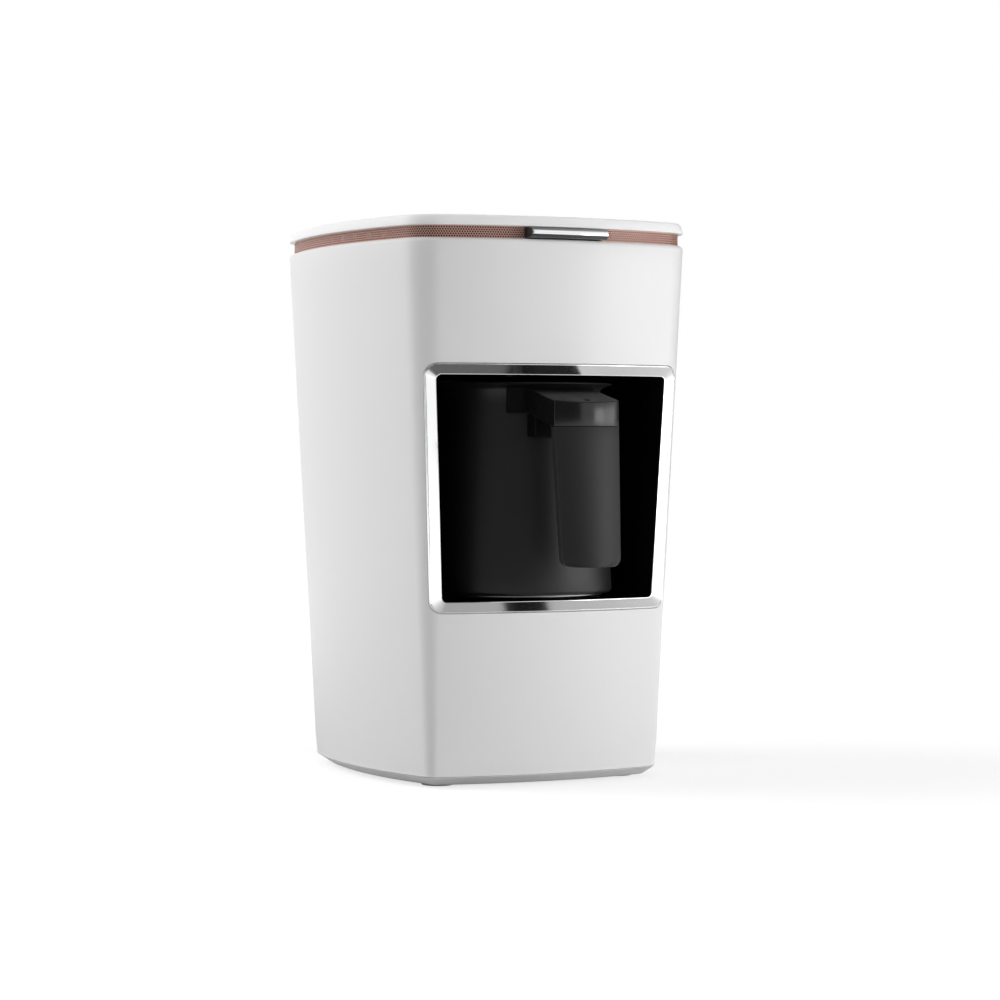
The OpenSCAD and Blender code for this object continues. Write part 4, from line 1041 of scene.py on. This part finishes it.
class COFFEE_OT_bay(bpy.types.Operator):
    """Black bay with leaning sides, a round back and a round seat for the hot plate"""
    bl_idname = "coffee.bay"
    bl_label = "Bay liner"

    def ring(self, z, grow):
        """Plan of the bay at a height, grown all round."""
        s = settings("window")
        z_sill, z_lintel = bezel_levels()
        half = (s.sill_w + (s.top_w - s.sill_w) * (z - z_sill) / (z_lintel - z_sill)) / 2 + grow
        reach = s.bay_reach + grow
        steps = 64
        turn = [math.pi * i / steps for i in range(steps + 1)]
        front = SHELL_LOW.y - 10 * MM
        spots = [(-half, front), (half, front)]
        spots += [(half * math.cos(a), POT_Y + reach * math.sin(a)) for a in turn]
        return [(x, y, z) for x, y in spots]

    def execute(self, context):
        s = settings("window")
        form = BodyForm()
        z_sill, z_lintel = bezel_levels()
        z0 = z_sill - s.bay_gap
        z1 = z_lintel + s.bay_gap
        r = 1.6 * MM
        past = 20 * MM
        outside = loft("bay_lining", [self.ring(z, s.liner_t) for z in (z0 - s.liner_t, z1 + s.liner_t)])
        depth = settings("body").wall + 0.1 * MM
        limits = loft("bay_limits", [form.wall(z, depth) for z in (z0 - past, z1 + past)])
        rings = [self.ring(z0 + r * (1 - c), -r * (1 - n)) for n, c in quarter(5)]
        rings += [self.ring(z, 0) for z in climb(z0, z1, 6)[:-1]]
        rings += [self.ring(z1 - r * (1 - n), -r * (1 - c)) for n, c in quarter(5)]
        inside = loft("bay_space", rings)
        seat_r = (SEAL_HIGH.x - SEAL_LOW.x) / 2 + 0.05 * MM
        seat = cylinder("plate_cut", seat_r, z0 - 10 * MM, z0 + 10 * MM, (0, POT_Y), 96)
        eye_r = (LENS_HIGH.x - LENS_LOW.x) / 2 - 1.4 * MM
        eye = cylinder("lens_cut", eye_r, z1 - MM, z1 + 10 * MM, (0, POT_Y), 64)
        combine(outside, [limits], "INTERSECT")
        combine(outside, [inside, seat, eye])
        finish(outside, "bay_plastic", "root", "bay_liner")
        return {"FINISHED"}


class COFFEE_OT_heater(bpy.types.Operator):
    """Hot plate with turned rings, and the seal round it"""
    bl_idname = "coffee.heater"
    bl_label = "Hot plate"

    def execute(self, context):
        r = PLATE_HIGH.x
        low, top = PLATE_LOW.z, PLATE_HIGH.z
        ease = 0.6 * MM
        half, deep = 0.5 * MM, 0.25 * MM
        profile = [(0, low), (r, low), (r, top - ease), (r - ease / 3, top - ease / 4), (r - ease, top)]
        for i in range(6):
            groove = r * (0.86 - 0.12 * i)
            profile += [(groove + half, top), (groove, top - deep), (groove - half, top)]
        plate = lathe("heater_plate", profile + [(0, top)], (0, POT_Y))
        finish(plate, "plate_enamel", "root", "hot_plate", sharp=25)
        inner = r + 0.05 * MM
        outer = SEAL_HIGH.x
        z0, z1 = SEAL_LOW.z, SEAL_HIGH.z
        ring = [(inner, z0), (outer, z0), (outer, z1 - 0.5 * MM), (outer - 0.3 * MM, z1 - 0.15 * MM),
                ((inner + outer) / 2, z1), (inner + 0.2 * MM, z1 - 0.1 * MM), (inner, z1 - 0.4 * MM)]
        seal = lathe("heater_seal", ring, (0, POT_Y))
        finish(seal, "seal_rubber", "root", "plate_seal")
        return {"FINISHED"}


# ---------------------------------------------------------------- operators: pot

def pot_radius(z):
    """Radius of the pot's wall at a height."""
    s = settings("pot")
    z0, z1 = PLATE_HIGH.z + 0.1 * MM, POT_HIGH.z
    return s.foot_r + (s.rim_r - s.foot_r) * (z - z0) / (z1 - z0)


class COFFEE_OT_pot(bpy.types.Operator):
    """Tapered pot with a round foot and a rolled, flared rim"""
    bl_idname = "coffee.pot"
    bl_label = "Pot"

    def execute(self, context):
        s = settings("pot")
        z0, z1 = POT_LOW.z, POT_HIGH.z
        foot = 1.8 * MM
        roll = 0.55 * MM
        neck = z1 - 3.2 * MM
        rise = climb(z0 + foot, neck, 14)
        profile = [(0, z0), (s.foot_r * 0.5, z0), (pot_radius(z0) - foot - 0.2 * MM, z0)]
        profile += low_round(pot_radius(z0) - 0.1 * MM, z0, foot, 8)
        profile += [(pot_radius(z), z) for z in rise]

        # the rim flares out, rolls over and comes back to the wall's inner face
        flare = 1.8
        r_neck = pot_radius(neck)
        r_rim = POT_HIGH.x
        r_inner = s.rim_r - s.wall
        curl = z1 - roll - neck
        profile += [(r_neck + (r_rim - r_neck) * (i / 6) ** flare, neck + curl * i / 6) for i in range(1, 6)]
        profile += [(r_rim - roll + roll * math.cos(a), z1 - roll + roll * math.sin(a))
                    for a in [0] + climb(0, math.pi, 8)]
        profile += [(r_inner + (r_rim - 2 * roll - r_inner) * (1 - share) ** flare,
                     z1 - roll - curl * 1.1 * share) for share in climb(0, 1, 5)]

        # down the inner face to a round-edged floor
        profile += [(pot_radius(z) - s.wall, z) for z in reversed(rise[1:-1])]
        bowl = 5 * MM
        floor = z0 + s.wall
        r_floor = pot_radius(floor) - s.wall
        profile += [(r_floor - bowl * (1 - c), floor + bowl * (1 - n)) for n, c in quarter(8)]
        profile += [(s.foot_r * 0.5, floor), (0, floor)]
        pot = lathe("pot_vessel", profile, (0, POT_Y), 160)
        finish(pot, "pot_coating", "pot", "pot_body")
        return {"FINISHED"}


def plan_bow(width, y, thick, steps=28):
    """Plan of the handle: bowed front, straight sides, and a straight back at y + thick."""
    bow = settings("handle").bow
    spots = [(width / 2, y + thick), (-width / 2, y + thick)]
    for i in range(steps + 1):
        x = -width / 2 + width * i / steps
        spots.append((x, y - bow * (1 - (2 * x / width) ** 2)))
    return spots


class COFFEE_OT_handle(bpy.types.Operator):
    """Collar, anchor, sloping arm with a thumb dish, soft grip and the arm's screw"""
    bl_idname = "coffee.handle"
    bl_label = "Handle"

    def execute(self, context):
        self.collar()
        self.anchor()
        self.arm()
        self.grip()
        self.screw()
        return {"FINISHED"}

    def collar(self):
        """Ring segment that grips the pot."""
        z0, z1 = COLLAR_LOW.z, COLLAR_HIGH.z
        outer = POT_Y - COLLAR_LOW.y
        reach = math.asin(COLLAR_HIGH.x / outer)
        ease = 0.7 * MM
        face = low_round(outer, z0, ease, 4)[::-1] + top_round(outer, z1, ease, 4)
        profile = [(pot_radius(z0) + 0.05 * MM, z0)] + face + [(pot_radius(z1) + 0.25 * MM, z1)]
        piece = lathe("collar_ring", profile, (0, POT_Y), 40, -math.pi / 2 - reach, 2 * reach)
        finish(piece, "collar_plastic", "pot", "handle_collar", sharp=40)

    def anchor(self):
        """Block under the collar that the arm bears on."""
        piece = block("anchor_block", ANCHOR_LOW, ANCHOR_HIGH)
        soften(piece, 0.9 * MM)
        z0, z1 = ANCHOR_LOW.z - 10 * MM, ANCHOR_HIGH.z + 10 * MM
        play = 0.05 * MM
        r0, r1 = pot_radius(z0) + play, pot_radius(z1) + play
        hug = lathe("anchor_cut", [(0, z0), (r0, z0), (r1, z1), (0, z1)], (0, POT_Y), 160)
        combine(piece, [hug])
        finish(piece, "collar_plastic", "pot", "handle_anchor")

    def arm(self):
        """Sloping arm that ends in the handle's smooth cap."""
        s = settings("handle")
        front, back = ARM_LOW.y, ARM_HIGH.y
        z_back = ARM_HIGH.z
        split = GRIP_HIGH.z + 0.1 * MM
        edge = front + s.bow
        slope = math.tan(s.fall)
        arm = prism("arm_cap", plan_bow(s.width, edge, back - edge), "z", split, z_back + 10 * MM)
        side = [(front - MM, z_back - (back - front + MM) * slope), (back, z_back), (back, z_back - s.arm_t),
                (edge + s.edge_t, split), (front - MM, split)]
        combine(arm, [prism("arm_side", side, "x", -s.width, s.width)], "INTERSECT")
        soften(arm, s.round_r)
        r = CAP_SCREW_HIGH.x + 0.1 * MM
        at = (CAP_SCREW_LOW.y + CAP_SCREW_HIGH.y) / 2
        well = cylinder("screw_cut", r, CAP_SCREW_HIGH.z - 1.4 * MM, z_back, (0, at))
        combine(arm, [self.dish(), well])
        finish(arm, "cap_plastic", "pot", "handle_arm")
        # the arm's upper faces take the darker copy of the plastic: painted shade under the bay's ceiling
        part_finish(arm, "collar_plastic", lambda n: n.z > 0.6)

    def dish(self):
        """Cutter of the shallow thumb dish: a large ball that dips into the cap."""
        fall = settings("handle").fall
        y = ARM_LOW.y + 14 * MM
        r, deep = 62 * MM, 0.45 * MM
        z = ARM_HIGH.z - (ARM_HIGH.y - y) * math.tan(fall)
        centre = Vector((0, y, z)) + Vector((0, -math.sin(fall), math.cos(fall))) * (r - deep)
        turn = [math.pi * (0.5 - i / 48) for i in range(49)]
        ball = lathe("dish_cut", [(r * math.cos(a), -r * math.sin(a)) for a in turn], (0, 0), 96)
        for v in ball.data.vertices:
            v.co += centre
        return ball

    def grip(self):
        """Soft grip with a bowed face, leaning out towards its round end."""
        s = settings("handle")
        z0, z1 = GRIP_LOW.z, GRIP_HIGH.z
        top = z1 + 0.1 * MM
        corner = 4 * MM
        steps = 10
        rise = [z0 + corner * (1 - c) for n, c in quarter(8)] + climb(z0 + corner, z1, steps)
        cut = [corner * (1 - n) for n, c in quarter(8)] + [0] * steps
        rings = []
        for z, less in zip(rise, cut):
            down = (top - z) / (top - z0)
            width = s.width + (s.low_width - s.width) * down - 2 * less
            plan = plan_bow(width, ARM_LOW.y + s.bow - s.lean * down, s.edge_t)
            rings.append([(x, y, z) for x, y in plan])
        piece = loft("grip_sleeve", rings)
        soften(piece, s.round_r)
        finish(piece, "grip_rubber", "pot", "handle_grip")

    def screw(self):
        """Bright screw in the cap, with a cross drive."""
        low, high = CAP_SCREW_LOW, CAP_SCREW_HIGH
        r, top = high.x, high.z
        at = (low.y + high.y) / 2
        head = 1.4 * MM
        shank = 1 * MM
        profile = [(0, low.z), (shank, low.z), (shank, top - head), (r, top - head)]
        profile += top_round(r, top, 0.5 * MM, 5) + [(0, top)]
        piece = lathe("cap_screw", profile, (0, at), 48)
        long, slim, deep = 1.1 * MM, 0.25 * MM, 0.7 * MM
        combine(piece, [block("drive_cut", (-x, at - y, top - deep), (x, at + y, top + MM))
                        for x, y in ((long, slim), (slim, long))])
        finish(piece, "bright_steel", "pot", "handle_screw")


# ---------------------------------------------------------------- operators: kept CAD pieces and stage

KEPT_FINISHES = {
    "frame_plastic": ["top_frame", "button_carrier"],
    "dark_casing": ["push_switch", "buzzer", "transformer", "switch_plunger"],
    "board_lacquer": ["control_board", "sensor_board", "power_board"],
    "bright_steel": ["base_screws", "frame_screws", "lid_screws", "liner_screws", "plate_bracket",
                     "heating_element"],
    "turned_alloy": ["pot_base", "thermostat"],
    "pale_ceramic": ["thermal_fuse", "terminal_block"],
    "red_lens": ["sensor_lens"],
    "blue_casing": ["relay"],
    "seal_rubber": ["cord_gland"],
}


class COFFEE_OT_inner_parts(bpy.types.Operator):
    """Materials of the pieces that keep their CAD shape"""
    bl_idname = "coffee.inner_parts"
    bl_label = "Inner parts"

    def execute(self, context):
        for surface, nodes in KEPT_FINISHES.items():
            for node in nodes:
                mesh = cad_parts[node].data
                mesh.materials.clear()
                mesh.materials.append(material(surface))
        return {"FINISHED"}


LAMP_DISTANCE = 1.6
LAMP_TARGET = Vector((0, 0, 0.13))
WHITE = (1, 1, 1, 1)
IN_VIEW = ("Is Camera Ray", "Is Transmission Ray", "Is Glossy Ray")


def upright(start, end, height):
    """Corners of an upright card that stands between two bearings, as far away as the lamps."""
    turns = (math.radians(start), math.radians(end))
    feet = [(LAMP_DISTANCE * math.sin(a), -LAMP_DISTANCE * math.cos(a)) for a in turns]
    return [(*feet[0], MM), (*feet[1], MM), (*feet[1], height), (*feet[0], height)]


def level_card(low, high, z):
    """Corners of a level card."""
    return [(low[0], low[1], z), (high[0], low[1], z), (high[0], high[1], z), (low[0], high[1], z)]


# name, bearing from the front (positive to the right) and height in degrees, size, watts
STUDIO_LAMPS = [
    ("key", 47, 4, (0.8, 0.4), 19.4),
    ("fill", -54, 14, (0.8, 0.8), 4),
    ("side", -120, 40, (0.8, 0.8), 12.5),
    ("side_low", -105, 12, (0.8, 0.8), 4.3),
    ("above", 0, 90, (1.0, 1.0), 8),
]
# name, strength, corners: what metal and gloss mirror besides the white surroundings
STUDIO_CARDS = [
    ("card_front", 0.1, upright(-95, 6, 0.7)),
    ("card_light", 4.3, upright(32, 50, 0.3)),
    ("card_side", 2.9, upright(50, 75, 0.3)),
    ("card_rear", 0.1, upright(80, 156, 1.0)),
    ("card_floor", 0.12, level_card((-0.15, -0.33), (0.1, -0.12), 2 * MM)),
]


class COFFEE_OT_stage(bpy.types.Operator):
    """Pale floor, white surroundings, soft lights and the camera"""
    bl_idname = "coffee.stage"
    bl_label = "Stage"

    def execute(self, context):
        self.floor()
        self.world(context.scene)
        for values in STUDIO_LAMPS:
            self.lamp(*values)
        for values in STUDIO_CARDS:
            self.card(*values)
        self.camera(context.scene)
        context.scene.view_settings.view_transform = "Standard"
        return {"FINISHED"}

    def floor(self):
        """White with the object's shadow where it is seen or mirrored, and pale where it lights. Its glow
        dims towards the object, most where it is mirrored: painted shade on the floor round the object.
        """
        half = 6.0
        floor = new_object("floor", level_card((-half, -half), (half, half), 0), [(0, 1, 2, 3)])
        surface = bpy.data.materials.new("floor_white")
        graph = blank(surface)
        plain = graph.node("ShaderNodeBsdfDiffuse", {"Color": (0.55, 0.55, 0.55, 1)})[0]
        shaded = graph.node("ShaderNodeBsdfDiffuse", {"Color": (0.4, 0.4, 0.4, 1)})[0]
        place = graph.node("ShaderNodeTexCoord")["Object"]
        away = graph.node("ShaderNodeVectorMath", {0: place}, operation="LENGTH")["Value"]
        # painted shade: the floor's glow is lower near the object, and lowest in what gloss mirrors
        painted_dim_near = graph.spread(graph.rays("Is Glossy Ray"), (0, 1), (0.72, 0.3))
        glow = graph.node("ShaderNodeEmission", {"Strength": graph.spread(away, (0.2, 0.9), (painted_dim_near, 1.0))})[0]
        seen = graph.node("ShaderNodeAddShader", {0: shaded, 1: glow})[0]
        shown = graph.node("ShaderNodeMixShader", {0: graph.rays(*IN_VIEW), 1: plain, 2: seen})[0]
        graph.node("ShaderNodeOutputMaterial", {"Surface": shown})
        floor.data.materials.append(surface)

    def world(self, scene):
        """White where it is seen, white at the horizon and darker above where it is mirrored."""
        scene.world = bpy.data.worlds.new("studio")
        graph = blank(scene.world)
        faint = graph.node("ShaderNodeBackground", {"Color": WHITE, "Strength": 0.03})[0]
        up = graph.axes(graph.node("ShaderNodeTexCoord")["Generated"])[2]
        high = graph.spread(graph.rays("Is Glossy Ray"), (0, 1), (1.0, 0.03))
        strength = graph.spread(up, (0.15, 1.0), (1.0, high))
        bright = graph.node("ShaderNodeBackground", {"Color": WHITE, "Strength": strength})[0]
        shown = graph.node("ShaderNodeMixShader", {0: graph.rays(*IN_VIEW), 1: faint, 2: bright})[0]
        graph.node("ShaderNodeOutputWorld", {"Surface": shown})

    def lamp(self, name, bearing, height, size, power):
        """A soft light that faces the object from a bearing and a height, and that gloss doesn't mirror."""
        data = bpy.data.lights.new(name, "AREA")
        data.shape = "RECTANGLE"
        data.size, data.size_y = size
        data.energy = power
        light = bpy.data.objects.new(name, data)
        bpy.context.scene.collection.objects.link(light)
        turn, rise = math.radians(bearing), math.radians(height)
        away = Vector((math.sin(turn) * math.cos(rise), -math.cos(turn) * math.cos(rise), math.sin(rise)))
        light.location = LAMP_TARGET + LAMP_DISTANCE * away
        light.rotation_euler = away.to_track_quat("Z", "Y").to_euler()
        light.visible_glossy = False

    def card(self, name, strength, corners):
        """A plain card that only gloss and metal mirror."""
        card = new_object(name, corners, [(0, 1, 2, 3)])
        surface = bpy.data.materials.new(name)
        graph = blank(surface)
        glow = graph.node("ShaderNodeEmission", {"Strength": strength})[0]
        graph.node("ShaderNodeOutputMaterial", {"Surface": glow})
        surface.cycles.emission_sampling = "NONE"
        card.data.materials.append(surface)
        for kind in ("camera", "diffuse", "transmission", "volume_scatter", "shadow"):
            setattr(card, "visible_" + kind, False)

    def camera(self, scene):
        """A long lens level with the machine's middle, from the front and the left."""
        data = bpy.data.cameras.new("camera")
        data.lens = 104.22
        data.sensor_width = 36
        data.clip_start = 50 * MM
        camera = bpy.data.objects.new("camera", data)
        scene.collection.objects.link(camera)
        camera.location = (-0.5807, -1.2055, 0.1508)
        camera.rotation_euler = (math.radians(88.923), 0, math.radians(-25.84))
        scene.camera = camera


# ---------------------------------------------------------------- panel and registration

OPERATORS = [
    COFFEE_OT_shell, COFFEE_OT_lid, COFFEE_OT_base, COFFEE_OT_feet, COFFEE_OT_band, COFFEE_OT_button,
    COFFEE_OT_springs, COFFEE_OT_bezel, COFFEE_OT_bay, COFFEE_OT_heater, COFFEE_OT_pot, COFFEE_OT_handle,
    COFFEE_OT_inner_parts, COFFEE_OT_stage,
]


class COFFEE_PT_panel(bpy.types.Panel):
    """Lists the coffee maker's pieces in the sidebar"""
    bl_label = "Coffee maker"
    bl_idname = "COFFEE_PT_panel"
    bl_space_type = "VIEW_3D"
    bl_region_type = "UI"
    bl_category = "Coffee maker"

    def draw(self, context):
        for operator in OPERATORS:
            self.layout.operator(operator.bl_idname)
        for name in SIZE_GROUPS:
            group = getattr(context.scene, name)
            box = self.layout.box()
            for key in group.__annotations__:
                box.prop(group, key)


def register():
    for name, group in SIZE_GROUPS.items():
        bpy.utils.register_class(group)
        setattr(bpy.types.Scene, name, PointerProperty(type=group))
    for operator in OPERATORS:
        bpy.utils.register_class(operator)
    bpy.utils.register_class(COFFEE_PT_panel)


def unregister():
    bpy.utils.unregister_class(COFFEE_PT_panel)
    for operator in reversed(OPERATORS):
        bpy.utils.unregister_class(operator)
    for name, group in SIZE_GROUPS.items():
        delattr(bpy.types.Scene, name)
        bpy.utils.unregister_class(group)


def main():
    """Builds every piece in order."""
    register()
    for operator in OPERATORS:
        area, name = operator.bl_idname.split(".")
        getattr(getattr(bpy.ops, area), name)()


if __name__ == "__main__":
    main()
